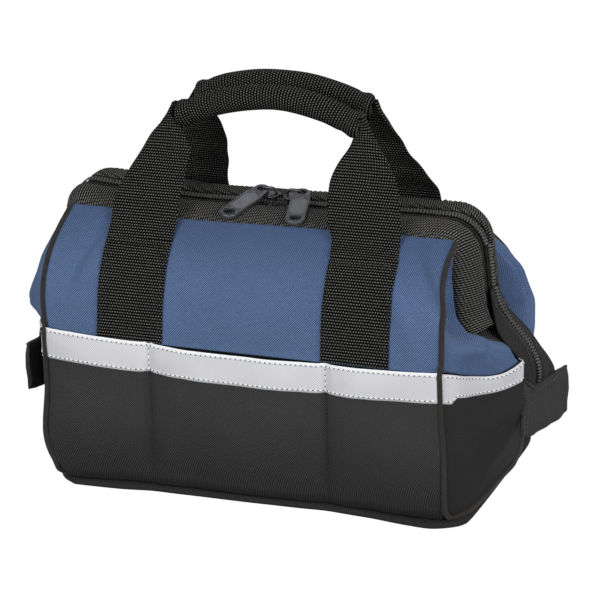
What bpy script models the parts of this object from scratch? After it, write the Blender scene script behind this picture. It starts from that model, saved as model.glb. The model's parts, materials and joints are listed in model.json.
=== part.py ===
# Small gate-mouth tool bag: a boxy cloth body with open pockets front and rear,
# a zipped mouth held by two U-shaped steel frames, and two webbing handles.
# Metres, +Z up, +X along the bag, the front faces -Y. The origin is on the floor
# under the middle of the bag.

import math

import bmesh
import bpy
from mathutils import Matrix, Vector

# Body of the bag
BAG_LENGTH = 0.3040           # between the seams at the ends of the front
BAG_DEPTH = 0.1680            # between the outer faces of the two inner walls
FOLD_HEIGHT = 0.1115          # where the upper panels fold inward
FOLD_CLEARANCE = 0.0012       # upper panel above its fold line
CLOTH = 0.0016                # laminated polyester panel
GAP = 0.0003                  # between sewn pieces
OVERRUN = 0.0020              # cutters past what they cut

# Base
BASE_THICKNESS = 0.0040
BASE_OVERHANG = 0.0090        # base panel in front of the inner wall
BASE_CORNER_RADIUS = 0.0120
BOARD_THICKNESS = 0.0025
BOARD_INSET = 0.0040

# Ends
END_BOTTOM_BULGE = 0.0150
END_TOP_BULGE = 0.0340
END_BULGE_HEIGHT = 0.0850     # the bulge is full from here up
END_FLAT_WIDTH = 0.0340       # nearly flat part behind the zip tab
END_TOP_DROP = 0.0120         # the top edge dips at the middle of the end

# Pockets and tape
POCKET_DIVIDER_X = 0.0670
POCKET_SWELL = 0.0065
POCKET_SEAM_DEPTH = 0.0022
POCKET_SEAM_WIDTH = 0.0050
POCKET_FLOOR = 0.0030
POCKET_ABOVE_FOLD = 0.0005
TAPE_HEIGHT = 0.0220
TAPE_THICKNESS = 0.0008

# Piping
PIPING_RADIUS = 0.0020
PIPING_CORNER_RADIUS = 0.0100

# Mouth, measured on the seam between an upper panel and its mouth binding
SEAM_Y = 0.0410
SEAM_HEIGHT = 0.1950
SEAM_INSET = 0.0080           # seam shorter than the fold at each end
LEG_SPREAD = 0.0070           # feet of the legs past the top of the seam
SEAM_CORNER_RADIUS = 0.0220
LEG_END_HEIGHT = 0.1260
PANEL_SWELL = 0.0125          # of the upper panels, halfway up

# Ridge of the mouth, where the zip lies, from the seam line
RIDGE_RISE = 0.0055
RIDGE_OUT_TOP = 0.0120
RIDGE_OUT_LEG = 0.0100
RIDGE_CORNER_RADIUS = 0.0270

# Mouth binding, a webbing sleeve round the frame rod
SLEEVE_WIDTH = 0.0272
SLEEVE_HEIGHT = 0.0080
SLEEVE_WALL = 0.0011
SLEEVE_ROUNDING = 0.0020
SLEEVE_SEAM_GAP = 0.0018

# Steel frame
ROD_RADIUS = 0.0025
EYE_HALF_WIDTH = 0.0048
EYE_HALF_THICKNESS = 0.0010
EYE_HOLE_RADIUS = 0.0022
PIVOT_DROP = 0.0100           # below the ends of the binding
PIVOT_OUT = 0.0040            # past the seam line at the legs
PIVOT_GAP = 0.0005
RIVET_HEAD_RADIUS = 0.0042
RIVET_HEAD_THICKNESS = 0.0014
RIVET_SHANK_CLEARANCE = 0.0003

# Zip
ZIP_TAPE_THICKNESS = 0.0008
COIL_WIDTH = 0.0034           # of one half, from the middle plane
COIL_THICKNESS = 0.0024
COIL_STEP = 0.0031            # from one tooth to the next on a half
TOOTH_REACH = 0.0006          # past the middle plane
TOOTH_TIP_WIDTH = 0.0008
TOOTH_ROOT_WIDTH = 0.0012
TOOTH_ROOT_BACK = 0.0012      # the gaps between teeth end here

# Sliders and their pulls
SLIDER_LENGTH = 0.0150
SLIDER_FLANGE = 0.0010
SLIDER_PLATE = 0.0012
SLIDER_CENTRE_X = 0.0100
SLIDER_GAP = 0.0005
POST_LENGTH = 0.0055
POST_WIDTH = 0.0018
BRIDGE_HEIGHT = 0.0052
BRIDGE_WIDTH = 0.0018
BRIDGE_LENGTH = 0.0135
BRIDGE_BAR = 0.0016
PULL_LENGTH = 0.0410
PULL_WIDTH = 0.0125
PULL_HEAD_WIDTH = 0.0110
PULL_THICKNESS = 0.0015
PULL_EYE_RADIUS = 0.0034
PULL_HOLE_RADIUS = 0.0042     # finger hole near the free end
PULL_RECESS_DEPTH = 0.0003
PULL_RECESS_MARGIN = 0.0014
PULL_SLOPE = math.radians(10.0)
LEFT_PULL_TURN = math.radians(32.0)     # how far each pull lies turned outward
RIGHT_PULL_TURN = math.radians(8.0)

# Zip tails and end tabs
TAIL_WIDTH = 0.0380
TAIL_THICKNESS = 0.0016
TAB_WIDTH = 0.0520
TAB_HEIGHT = 0.0420
TAB_TOP = 0.0840
TAB_THICKNESS = 0.0070
TAB_SHIFT = 0.0060            # toward the rear on the right, the front on the left
TAB_FLARE = 0.0050            # the free end stands this much farther out
TAB_ROUNDING = 0.0025

# Gussets between the upper panels, the binding and the end panels
GUSSET_THICKNESS = 0.0012
GUSSET_FULL_BULGE = 0.0210
GUSSET_TUCK = -0.0110
GUSSET_SEAM_GAP = 0.0030

# Handles
WEBBING_WIDTH = 0.0500
WEBBING_THICKNESS = 0.0018
STRAP_X = 0.0860
STRAP_FIRST = 0.0030          # strap's sewn end above the fold, along the panel
STRAP_SEWN_LENGTH = 0.0680
STRAP_HINGE_GAP = 0.0012
GRIP_DIAMETER = 0.0175
GRIP_HALF_LENGTH = 0.0650
GRIP_END_HEIGHT = 0.2700
GRIP_MIDDLE_RISE = 0.0150
GRIP_Y = 0.0170
NECK_WIDTH = 0.0210           # strap where it is folded into the grip
NECK_THICKNESS = 0.0110
STRAP_CLEARANCE = 0.0045      # strap in front of the seam of the binding

# Faceting
ARC_STEPS = 5
END_STEPS = 14
LOBE_STEPS = 8
PANEL_STEPS = 8
PIPE_BEVEL_RESOLUTION = 1

# Worked out from the sizes above
HALF_LENGTH = BAG_LENGTH / 2
HALF_DEPTH = BAG_DEPTH / 2
FLOOR_TOP = BASE_THICKNESS + GAP
POCKET_TOP = FOLD_HEIGHT + POCKET_ABOVE_FOLD
SEAM_HALF_TOP = HALF_LENGTH - SEAM_INSET
SEAM_HALF_LEG = SEAM_HALF_TOP + LEG_SPREAD
POCKET_BACK = HALF_DEPTH + GAP
PIPE_OFFSET = PIPING_RADIUS + GAP
END_EDGE_X = HALF_LENGTH + GAP
RIDGE_HEIGHT = SEAM_HEIGHT + RIDGE_RISE
RIDGE_HALF_TOP = SEAM_HALF_TOP + RIDGE_OUT_TOP
RIDGE_HALF_LEG = SEAM_HALF_LEG + RIDGE_OUT_LEG
PIVOT_X = SEAM_HALF_LEG + PIVOT_OUT
PIVOT_HEIGHT = LEG_END_HEIGHT - PIVOT_DROP
SLEEVE_OUTER_Y = SEAM_Y - SLEEVE_SEAM_GAP
SLEEVE_INNER_Y = SLEEVE_OUTER_Y - SLEEVE_WIDTH
ROD_Y = (SLEEVE_OUTER_Y + SLEEVE_INNER_Y) / 2
COIL_PARTED_EDGE = POST_WIDTH / 2 + SLIDER_GAP
COIL_PUSH = COIL_PARTED_EDGE + TOOTH_REACH
TAPE_DEPTH = COIL_THICKNESS + GAP
PANEL_LEAN = math.atan2(HALF_DEPTH - SEAM_Y, SEAM_HEIGHT - FOLD_HEIGHT)
PANEL_RUN = math.hypot(HALF_DEPTH - SEAM_Y, SEAM_HEIGHT - FOLD_HEIGHT)

FRONT = -1
REAR = 1
LEFT = -1
RIGHT = 1


def clear_scene():
    for obj in list(bpy.data.objects):
        bpy.data.objects.remove(obj, do_unlink=True)


def make_material(name, colour, roughness, metallic=0.0):
    material = bpy.data.materials.new(name)
    material.use_nodes = True
    shader = material.node_tree.nodes["Principled BSDF"]
    shader.inputs["Base Color"].default_value = (*colour, 1.0)
    shader.inputs["Roughness"].default_value = roughness
    shader.inputs["Metallic"].default_value = metallic
    return material


def link(name, data, material, origin=None):
    """An object whose mesh, made in world space, is kept relative to its origin."""
    obj = bpy.data.objects.new(name, data)
    data.materials.append(material)
    if origin is not None:
        data.transform(Matrix.Translation(-Vector(origin)))
        obj.location = origin
    bpy.context.collection.objects.link(obj)
    return obj


def finish_mesh(name, mesh_data, material, origin=None, sharp_angle=math.radians(35)):
    bmesh.ops.recalc_face_normals(mesh_data, faces=mesh_data.faces)
    mesh = bpy.data.meshes.new(name)
    mesh_data.to_mesh(mesh)
    mesh_data.free()
    mesh.shade_smooth()
    mesh.set_sharp_from_angle(angle=sharp_angle)
    return link(name, mesh, material, origin)


def loft(name, rings, material, origin=None):
    """A closed body through equal rings of points, capped at both ends."""
    mesh_data = bmesh.new()
    rows = [[mesh_data.verts.new(point) for point in ring] for ring in rings]
    for row, following in zip(rows, rows[1:]):
        for i in range(len(row)):
            j = (i + 1) % len(row)
            mesh_data.faces.new((row[i], row[j], following[j], following[i]))
    mesh_data.faces.new(rows[0])
    mesh_data.faces.new(rows[-1])
    return finish_mesh(name, mesh_data, material, origin)


def sleeve_loft(name, outer_rings, inner_rings, material, origin=None):
    """A tube with a wall: outer and inner rings joined by a rim at each end."""
    mesh_data = bmesh.new()
    outer = [[mesh_data.verts.new(point) for point in ring] for ring in outer_rings]
    inner = [[mesh_data.verts.new(point) for point in ring] for ring in inner_rings]
    for rows in (outer, inner):
        for row, following in zip(rows, rows[1:]):
            for i in range(len(row)):
                j = (i + 1) % len(row)
                mesh_data.faces.new((row[i], row[j], following[j], following[i]))
    for end in (0, -1):
        for i in range(len(outer[end])):
            j = (i + 1) % len(outer[end])
            mesh_data.faces.new((outer[end][i], outer[end][j], inner[end][j], inner[end][i]))
    return finish_mesh(name, mesh_data, material, origin)


def prism(name, outline, direction, material, origin=None):
    """A flat outline extruded along a direction."""
    mesh_data = bmesh.new()
    face = mesh_data.faces.new([mesh_data.verts.new(point) for point in outline])
    grown = bmesh.ops.extrude_face_region(mesh_data, geom=[face])
    moved = [item for item in grown["geom"] if isinstance(item, bmesh.types.BMVert)]
    bmesh.ops.translate(mesh_data, verts=moved, vec=direction)
    return finish_mesh(name, mesh_data, material, origin)


def sheet(name, grid, thickness, material, origin=None, outward=None):
    """Cloth: a grid of points thickened by Solidify, away from the outer face."""
    mesh_data = bmesh.new()
    rows = [[mesh_data.verts.new(point) for point in row] for row in grid]
    for row, following in zip(rows, rows[1:]):
        for i in range(len(row) - 1):
            mesh_data.faces.new((row[i], row[i + 1], following[i + 1], following[i]))
    mesh_data.normal_update()
    lean = sum((face.normal * face.calc_area() for face in mesh_data.faces), Vector())
    if lean.dot(Vector(outward)) < 0:
        bmesh.ops.reverse_faces(mesh_data, faces=mesh_data.faces)
    mesh = bpy.data.meshes.new(name)
    mesh_data.to_mesh(mesh)
    mesh_data.free()
    mesh.shade_smooth()
    obj = link(name, mesh, material, origin)
    thicken = obj.modifiers.new("cloth thickness", "SOLIDIFY")
    thicken.thickness = thickness
    thicken.offset = -1
    thicken.use_even_offset = True
    return obj


def piping(name, points, material, origin=None):
    """A round cord covered in cloth, along a line of points."""
    curve = bpy.data.curves.new(name, "CURVE")
    curve.dimensions = "3D"
    curve.bevel_depth = PIPING_RADIUS
    curve.bevel_resolution = PIPE_BEVEL_RESOLUTION
    curve.use_fill_caps = True
    spline = curve.splines.new("POLY")
    spline.points.add(len(points) - 1)
    for slot, point in zip(spline.points, points):
        slot.co = (*point, 1.0)
    return link(name, curve, material, origin)


def cut(obj, cutter):
    cutter.hide_render = True
    cutter.display_type = "WIRE"
    boolean = obj.modifiers.new("cut by " + cutter.name, "BOOLEAN")
    boolean.operation = "DIFFERENCE"
    boolean.solver = "EXACT"
    boolean.object = cutter


def round_edges(obj, width, segments=2, angle=math.radians(40)):
    bevel = obj.modifiers.new("rounded edges", "BEVEL")
    bevel.width = width
    bevel.segments = segments
    bevel.limit_method = "ANGLE"
    bevel.angle_limit = angle


def mix(a, b, share):
    return a + (b - a) * share


def smooth_step(share):
    share = min(max(share, 0.0), 1.0)
    return share * share * (3 - 2 * share)


def spread(first, last, count):
    return [mix(first, last, i / (count - 1)) for i in range(count)]


# Shape of the ends

def end_bulge(y, z):
    """How far an end stands out past its seams at a place."""
    across = min(abs(y) / HALF_DEPTH, 1.0)
    low = END_BOTTOM_BULGE * (1 - across ** 4)
    flat = END_FLAT_WIDTH / 2
    slope = (HALF_DEPTH - abs(y)) / (HALF_DEPTH - flat)
    high = END_TOP_BULGE * smooth_step(slope)
    return mix(low, high, smooth_step(z / END_BULGE_HEIGHT))


def end_top(y):
    return FOLD_HEIGHT + POCKET_ABOVE_FOLD - END_TOP_DROP * smooth_step(1 - abs(y) / HALF_DEPTH)


def end_surface(side, y, z, offset=0.0):
    return Vector((side * (END_EDGE_X + end_bulge(y, z) + offset), y, z))


def build_base(cloth, board):
    outline = []
    edge_y = HALF_DEPTH + BASE_OVERHANG
    lip = 2 * PIPE_OFFSET
    ys = spread(-HALF_DEPTH, HALF_DEPTH, END_STEPS)
    for side in (RIGHT, LEFT):
        corner_x = END_EDGE_X + lip
        run = [(side * (corner_x + end_bulge(y, 0)), y) for y in ys]
        first = (side * (corner_x - BASE_CORNER_RADIUS), -edge_y)
        last = (side * (corner_x - BASE_CORNER_RADIUS), edge_y)
        run = [first, *run, last]
        outline += run if side == RIGHT else run[::-1]
    panel = prism("base_panel", [(x, y, 0) for x, y in outline], (0, 0, BASE_THICKNESS), cloth)
    board_x = HALF_LENGTH - BOARD_INSET
    board_y = HALF_DEPTH - CLOTH - BOARD_INSET
    corners = [(-board_x, -board_y), (board_x, -board_y), (board_x, board_y), (-board_x, board_y)]
    stiffener = prism("base_board", [(x, y, FLOOR_TOP) for x, y in corners],
                      (0, 0, BOARD_THICKNESS), board)
    return [panel, stiffener]


# Pockets: one cloth panel swells out between the seams that hold it to the wall

def pocket_seams():
    return [-HALF_LENGTH, -POCKET_DIVIDER_X, POCKET_DIVIDER_X, HALF_LENGTH]


def lobe_points(first, last, base, swell):
    """Points of one swollen pocket from seam to seam: (x, distance out)."""
    half_seam = POCKET_SEAM_WIDTH / 2
    start = first + half_seam
    end = last - half_seam
    points = []
    for i in range(LOBE_STEPS + 1):
        share = i / LOBE_STEPS
        rise = math.sin(math.pi * share) ** 0.6 if 0 < share < 1 else 0.0
        points.append((mix(start, end, share), base + swell * rise))
    return points


def pocket_skin(offset):
    """Outer line of a pocket panel seen from above, set out by an offset."""
    seams = pocket_seams()
    base = POCKET_BACK + POCKET_SEAM_DEPTH + offset
    line = [(seams[0], base)]
    for first, last in zip(seams, seams[1:]):
        line += lobe_points(first, last, base, POCKET_SWELL)
    line.append((seams[-1], base))
    return line


def build_pocket_panel(name, side, cloth):
    seams = pocket_seams()
    outer = pocket_skin(0.0)
    inner_base = POCKET_BACK + POCKET_SEAM_DEPTH - CLOTH
    pockets = [lobe_points(a, b, inner_base, POCKET_SWELL) for a, b in zip(seams, seams[1:])]
    floor_z = FLOOR_TOP + POCKET_FLOOR
    mesh_data = bmesh.new()

    def place(x, out, z):
        return mesh_data.verts.new((x, side * out, z))

    front_low = [place(x, out, FLOOR_TOP) for x, out in outer]
    front_top = [place(x, out, POCKET_TOP) for x, out in outer]
    back_x = [seams[0]]
    for pocket in pockets:
        back_x += [pocket[0][0], pocket[-1][0]]
    back_x.append(seams[-1])
    back_low = [place(x, POCKET_BACK, FLOOR_TOP) for x in back_x]
    back_floor = [place(x, POCKET_BACK, floor_z) for x in back_x[1:-1]]
    back_top = [place(x, POCKET_BACK, POCKET_TOP) for x in back_x]
    inner_floor = [[place(x, out, floor_z) for x, out in pocket] for pocket in pockets]
    inner_top = [[place(x, out, POCKET_TOP) for x, out in pocket] for pocket in pockets]

    face = mesh_data.faces.new
    face(front_low + back_low[::-1])
    for i in range(len(outer) - 1):
        face((front_low[i], front_low[i + 1], front_top[i + 1], front_top[i]))
    face((front_low[0], front_top[0], back_top[0], back_low[0]))
    face((front_low[-1], back_low[-1], back_top[-1], front_top[-1]))
    top_back_line = [back_top[0]]
    for k in range(len(pockets)):
        left, right = 2 * k + 1, 2 * k + 2
        floor_left, floor_right = back_floor[left - 1], back_floor[right - 1]
        face((back_low[left], back_floor[left - 1], back_floor[right - 1], back_low[right]))
        face([floor_left, *inner_floor[k], floor_right])
        face((floor_left, back_top[left], inner_top[k][0], inner_floor[k][0]))
        face((floor_right, inner_floor[k][-1], inner_top[k][-1], back_top[right]))
        for i in range(LOBE_STEPS):
            face((inner_floor[k][i], inner_top[k][i], inner_top[k][i + 1], inner_floor[k][i + 1]))
        top_back_line += [back_top[left], *inner_top[k], back_top[right]]
    top_back_line.append(back_top[-1])
    face(front_top + top_back_line[::-1])
    ribs = [(0, 1)] + [(2 * k, 2 * k + 1) for k in range(1, len(pockets))] + [(-2, -1)]
    for left, right in ribs:
        low = [back_low[left], back_low[right]]
        high = [back_top[right], back_top[left]]
        left_floor = [] if left == 0 else [back_floor[left - 1 if left > 0 else -1]]
        right_floor = [] if right == -1 else [back_floor[right - 1]]
        face(low + right_floor + high + left_floor)
    return finish_mesh(name, mesh_data, cloth)


def build_body(side, word, cloth, tape):
    outer_y = side * HALF_DEPTH
    wall = [(-HALF_LENGTH, FLOOR_TOP), (HALF_LENGTH, FLOOR_TOP),
            (HALF_LENGTH, FOLD_HEIGHT - GAP), (-HALF_LENGTH, FOLD_HEIGHT - GAP)]
    lower = prism(word + "_lower_panel", [(x, outer_y, z) for x, z in wall],
                  (0, -side * CLOTH, 0), cloth)
    pocket = build_pocket_panel(word + "_pocket_panel", side, cloth)
    line = pocket_skin(GAP + TAPE_THICKNESS)
    heights = (POCKET_TOP - TAPE_HEIGHT, POCKET_TOP)
    strip = sheet(word + "_reflective_strip",
                  [[(x, side * out, z) for x, out in line] for z in heights],
                  TAPE_THICKNESS, tape, outward=(0, side, 0))
    return [lower, pocket, strip]


def build_end(side, word, cloth, tape, trim):
    inner_y = HALF_DEPTH - CLOTH - GAP
    ys = spread(-inner_y, inner_y, END_STEPS)
    shares = (0.0, 0.18, 0.36, 0.54, 0.76, 1.0)
    grid = [[end_surface(side, y, mix(FLOOR_TOP, end_top(y), share)) for y in ys]
            for share in shares]
    panel = sheet(word + "_end_panel", grid, CLOTH, cloth, outward=(side, 0, 0))
    offset = GAP + TAPE_THICKNESS
    tape_shares = (0.0, 0.5, 1.0)
    strip_grid = [[end_surface(side, y, end_top(y) - TAPE_HEIGHT * (1 - share), offset)
                   for y in ys] for share in tape_shares]
    strip = sheet(word + "_end_strip", strip_grid, TAPE_THICKNESS, tape, outward=(side, 0, 0))

    route = []
    seam_y = HALF_DEPTH + PIPE_OFFSET
    low_z = FLOOR_TOP + PIPING_RADIUS
    corner_z = low_z + PIPING_CORNER_RADIUS
    for end in (FRONT, REAR):
        half = []
        for z in (FOLD_HEIGHT - PIPE_OFFSET, mix(corner_z, FOLD_HEIGHT, 0.5), corner_z):
            half.append((side * (END_EDGE_X + PIPE_OFFSET + end_bulge(HALF_DEPTH, z)),
                         end * seam_y, z))
        for i in range(1, ARC_STEPS):
            angle = math.pi / 2 * i / ARC_STEPS
            y = seam_y - PIPING_CORNER_RADIUS * (1 - math.cos(angle))
            z = corner_z - PIPING_CORNER_RADIUS * math.sin(angle)
            half.append((side * (END_EDGE_X + PIPE_OFFSET + end_bulge(y, 0)), end * y, z))
        route.append(half)
    first_y = seam_y - PIPING_CORNER_RADIUS
    bottom = [(side * (END_EDGE_X + PIPE_OFFSET + end_bulge(y, 0)), y, low_z)
              for y in spread(-first_y, first_y, END_STEPS)]
    cord = piping(word + "_piping", route[0] + bottom + route[1][::-1], trim)

    low = TAB_TOP - TAB_HEIGHT
    inner_x = END_EDGE_X + END_TOP_BULGE + TAPE_THICKNESS + 2 * GAP
    sewn_y, free_y = TAB_SHIFT - TAB_WIDTH / 2, TAB_SHIFT + TAB_WIDTH / 2
    free_x = inner_x + TAB_FLARE
    corners = [(inner_x, sewn_y), (free_x, free_y), (free_x + TAB_THICKNESS, free_y),
               (inner_x + TAB_THICKNESS, sewn_y)]
    tab = prism(word + "_end_tab", [(side * x, side * y, low) for x, y in corners],
                (0, 0, TAB_HEIGHT), cloth)
    round_edges(tab, TAB_ROUNDING)
    return [panel, strip, cord, tab]


# Mouth: two U-shaped lines, the seam line at SEAM_Y and the ridge at the middle plane

def u_line(half_top, half_leg, top, radius):
    """From the end of the left leg over the top to the end of the right leg: (x, z)."""
    right = [(half_leg, LEG_END_HEIGHT), (mix(half_leg, half_top, 0.5),
                                          mix(LEG_END_HEIGHT, top - radius, 0.5))]
    for i in range(ARC_STEPS + 1):
        angle = math.pi / 2 * i / ARC_STEPS
        right.append((half_top - radius + radius * math.cos(angle),
                      top - radius + radius * math.sin(angle)))
    return [(-x, z) for x, z in right] + right[::-1]


SEAM_LINE = u_line(SEAM_HALF_TOP, SEAM_HALF_LEG, SEAM_HEIGHT, SEAM_CORNER_RADIUS)
RIDGE_LINE = u_line(RIDGE_HALF_TOP, RIDGE_HALF_LEG, RIDGE_HEIGHT, RIDGE_CORNER_RADIUS)
STATIONS = len(SEAM_LINE)


def line_normal(line, i):
    before = line[max(i - 1, 0)]
    after = line[min(i + 1, len(line) - 1)]
    along = Vector((after[0] - before[0], 0, after[1] - before[1])).normalized()
    return Vector((-along.z, 0, along.x))


def mouth_point(i, y, depth=0.0, side=FRONT):
    """A place on the roof of the mouth at station i, at a distance y from the middle.

    The roof rises from the seam across the binding and is level under the zip."""
    share = min((SEAM_Y - y) / (SEAM_Y - SLEEVE_INNER_Y), 1.0)
    seam, ridge = SEAM_LINE[i], RIDGE_LINE[i]
    skin = Vector((mix(seam[0], ridge[0], share), side * y, mix(seam[1], ridge[1], share)))
    return skin - line_normal(SEAM_LINE, i) * depth


def sleeve_ring(i, side, inset):
    """A rounded rectangle across the binding, drawn in from its skin by an inset."""
    near, far = SLEEVE_INNER_Y + inset, SLEEVE_OUTER_Y - inset
    top, bottom = inset, SLEEVE_HEIGHT - inset
    round_off = SLEEVE_ROUNDING - inset / 2
    places = [(near + round_off, top), (far - round_off, top), (far, top + round_off),
              (far, bottom - round_off), (far - round_off, bottom), (near + round_off, bottom),
              (near, bottom - round_off), (near, top + round_off)]
    return [mouth_point(i, y, depth, side) for y, depth in places]


def panel_point(side, x, along, out=0.0):
    """A place on a swollen upper panel: along it from the fold, out from its outer face."""
    out += PANEL_SWELL * math.sin(math.pi * along / PANEL_RUN)
    y = HALF_DEPTH - along * math.sin(PANEL_LEAN) + out * math.cos(PANEL_LEAN)
    z = FOLD_HEIGHT + along * math.cos(PANEL_LEAN) + out * math.sin(PANEL_LEAN)
    return Vector((x, side * y, z))


def panel_half_length(along):
    return mix(HALF_LENGTH, SEAM_HALF_TOP, along / PANEL_RUN)


def fold_axis(side):
    return Vector((0, side * HALF_DEPTH, FOLD_HEIGHT))


def seam_axis(side):
    return Vector((0, side * SEAM_Y, SEAM_HEIGHT))


STRAP_FOOT_RUN = STRAP_FIRST + STRAP_SEWN_LENGTH + STRAP_HINGE_GAP


def strap_axis(side):
    """The strap folds over the outer face of its sewn end."""
    return panel_point(side, 0.0, STRAP_FOOT_RUN, GAP + WEBBING_THICKNESS + GAP / 2)


def build_upper_wall(side, word, cloth, trim, webbing):
    origin = fold_axis(side)
    runs = spread(FOLD_CLEARANCE, PANEL_RUN - GAP, PANEL_STEPS + 1)
    grid = [[panel_point(side, share * panel_half_length(run), run)
             for share in (-1.0, -0.5, 0.0, 0.5, 1.0)] for run in runs]
    panel = sheet(word + "_upper_panel", grid, CLOTH, cloth, origin, outward=(0, side, 0))
    pieces = [panel]
    strap_last = STRAP_FIRST + STRAP_SEWN_LENGTH
    strap_runs = [run for run in runs if STRAP_FIRST < run < strap_last]
    strap_runs = [STRAP_FIRST, *strap_runs, strap_last]
    for end, end_word in ((LEFT, "left"), (RIGHT, "right")):
        first, last = 2 * FOLD_CLEARANCE + PIPING_RADIUS, PANEL_RUN - 2 * PIPING_RADIUS
        places = [panel_point(side, end * (panel_half_length(run) + PIPE_OFFSET), run, -CLOTH / 2)
                  for run in spread(first, last, PANEL_STEPS)]
        pieces.append(piping(word + "_upper_piping_" + end_word, places, trim, origin))
        half = WEBBING_WIDTH / 2
        strap_grid = [[panel_point(side, end * STRAP_X + shift, run, GAP + WEBBING_THICKNESS)
                       for shift in (-half, half)] for run in strap_runs]
        pieces.append(sheet(word + "_strap_anchor_" + end_word, strap_grid, WEBBING_THICKNESS,
                            webbing, origin, outward=(0, side, 0)))
    return pieces


def rod_ring(centre, along, flat_axis, half_width, half_thickness, count=8):
    """An ellipse across the rod; flat_axis is the thin way of a flattened end."""
    wide_axis = along.cross(flat_axis).normalized()
    ring = []
    for i in range(count):
        angle = 2 * math.pi * i / count
        ring.append(centre + wide_axis * half_width * math.cos(angle)
                    + flat_axis * half_thickness * math.sin(angle))
    return ring


def build_frame_rod(side, word, steel):
    eye_x = PIVOT_X if side == FRONT else PIVOT_X - 2 * EYE_HALF_THICKNESS - PIVOT_GAP
    body = [mouth_point(i, ROD_Y, SLEEVE_HEIGHT / 2, side) for i in range(STATIONS)]
    flats = [line_normal(SEAM_LINE, i) for i in range(STATIONS)]
    sizes = [(ROD_RADIUS, ROD_RADIUS)] * STATIONS
    legs = []
    for end in (LEFT, RIGHT):
        leg_end, above = (body[0], body[1]) if end == LEFT else (body[-1], body[-2])
        knee = leg_end + (leg_end - above).normalized() * (2 * ROD_RADIUS)
        eye = Vector((end * eye_x, 0, PIVOT_HEIGHT))
        bend_shares = ((0.60, 0.40, 0.52), (1.0, 0.66, 0.84), (1.0, 1.0, 1.0))
        places = [knee]
        for x_share, y_share, z_share in bend_shares:
            places.append(Vector((mix(knee.x, eye.x, x_share), mix(knee.y, eye.y, y_share),
                                  mix(knee.z, eye.z, z_share))))
        places.append(eye - Vector((0, side * EYE_HALF_WIDTH, 0)))
        flat = Vector((end, 0, 0))
        leg_sizes = [(ROD_RADIUS, ROD_RADIUS), (ROD_RADIUS, ROD_RADIUS),
                     (EYE_HALF_WIDTH, EYE_HALF_THICKNESS), (EYE_HALF_WIDTH, EYE_HALF_THICKNESS),
                     (EYE_HALF_WIDTH / 2, EYE_HALF_THICKNESS)]
        legs.append((places, [flat] * len(places), leg_sizes))
    (left, left_flats, left_sizes), (right, right_flats, right_sizes) = legs
    places = left[::-1] + body + right
    flats = left_flats[::-1] + flats + right_flats
    sizes = left_sizes[::-1] + sizes + right_sizes
    rings = []
    for i, centre in enumerate(places):
        along = (places[min(i + 1, len(places) - 1)] - places[max(i - 1, 0)]).normalized()
        flat = flats[i] - along * flats[i].dot(along)
        rings.append(rod_ring(centre, along, flat.normalized(), *sizes[i]))
    rod = loft(word + "_frame_rod", rings, steel, seam_axis(side))

    holes = bmesh.new()
    for end in (LEFT, RIGHT):
        turn = Matrix.Rotation(math.pi / 2, 4, "Y")
        bmesh.ops.create_cone(holes, cap_ends=True, segments=8, radius1=EYE_HOLE_RADIUS,
                              radius2=EYE_HOLE_RADIUS, depth=8 * EYE_HALF_THICKNESS,
                              matrix=Matrix.Translation((end * eye_x, 0, PIVOT_HEIGHT)) @ turn)
    cutter = finish_mesh(word + "_eye_holes", holes, steel)
    cut(rod, cutter)
    return rod


def build_rivet(name, end, steel):
    """A domed head outside the eye of the front frame, with its shank in the hole."""
    inner_x = PIVOT_X - EYE_HALF_THICKNESS
    outer_x = PIVOT_X + EYE_HALF_THICKNESS + GAP
    shank = EYE_HOLE_RADIUS - RIVET_SHANK_CLEARANCE
    profile = [(inner_x, shank), (outer_x, shank), (outer_x, RIVET_HEAD_RADIUS),
               (outer_x + RIVET_HEAD_THICKNESS / 2, RIVET_HEAD_RADIUS),
               (outer_x + RIVET_HEAD_THICKNESS, RIVET_HEAD_RADIUS / 2)]
    rings = []
    for x, radius in profile:
        rings.append([Vector((end * x, radius * math.cos(2 * math.pi * i / 8),
                              PIVOT_HEIGHT + radius * math.sin(2 * math.pi * i / 8)))
                      for i in range(8)])
    return loft(name, rings, steel, seam_axis(FRONT))


def build_zip_tape(side, word, cloth):
    edges = (SLEEVE_INNER_Y - GAP, COIL_PARTED_EDGE)
    grid = [[mouth_point(i, y, TAPE_DEPTH, side) for i in range(STATIONS)] for y in edges]
    return sheet(word + "_zip_tape", grid, ZIP_TAPE_THICKNESS, cloth, seam_axis(side),
                 outward=(0, 0, 1))


def parting(x):
    """Share of the way that the sliders hold the zip halves apart at a place."""
    slider_tail = SLIDER_CENTRE_X + SLIDER_LENGTH / 2
    return smooth_step((slider_tail - abs(x)) / (SLIDER_LENGTH / 2))


def tooth_edge(side):
    """Inner edge of a zip half on the straight top: (x, y) from left to right.

    The teeth of the two halves stand half a step apart and mesh across the middle
    plane, except where the sliders hold the halves apart."""
    run = RIDGE_HALF_TOP - RIDGE_CORNER_RADIUS
    count = int(2 * run / COIL_STEP)
    start = -count * COIL_STEP / 2
    shift_share = 0.25 if side == FRONT else 0.75
    tip, foot = TOOTH_TIP_WIDTH / 2, TOOTH_ROOT_WIDTH / 2
    places = []
    for k in range(count):
        x = start + (k + shift_share) * COIL_STEP
        reach, root = -TOOTH_REACH, TOOTH_ROOT_BACK
        places += [(x - foot, root), (x - tip, reach), (x + tip, reach), (x + foot, root)]
    return places


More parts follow.
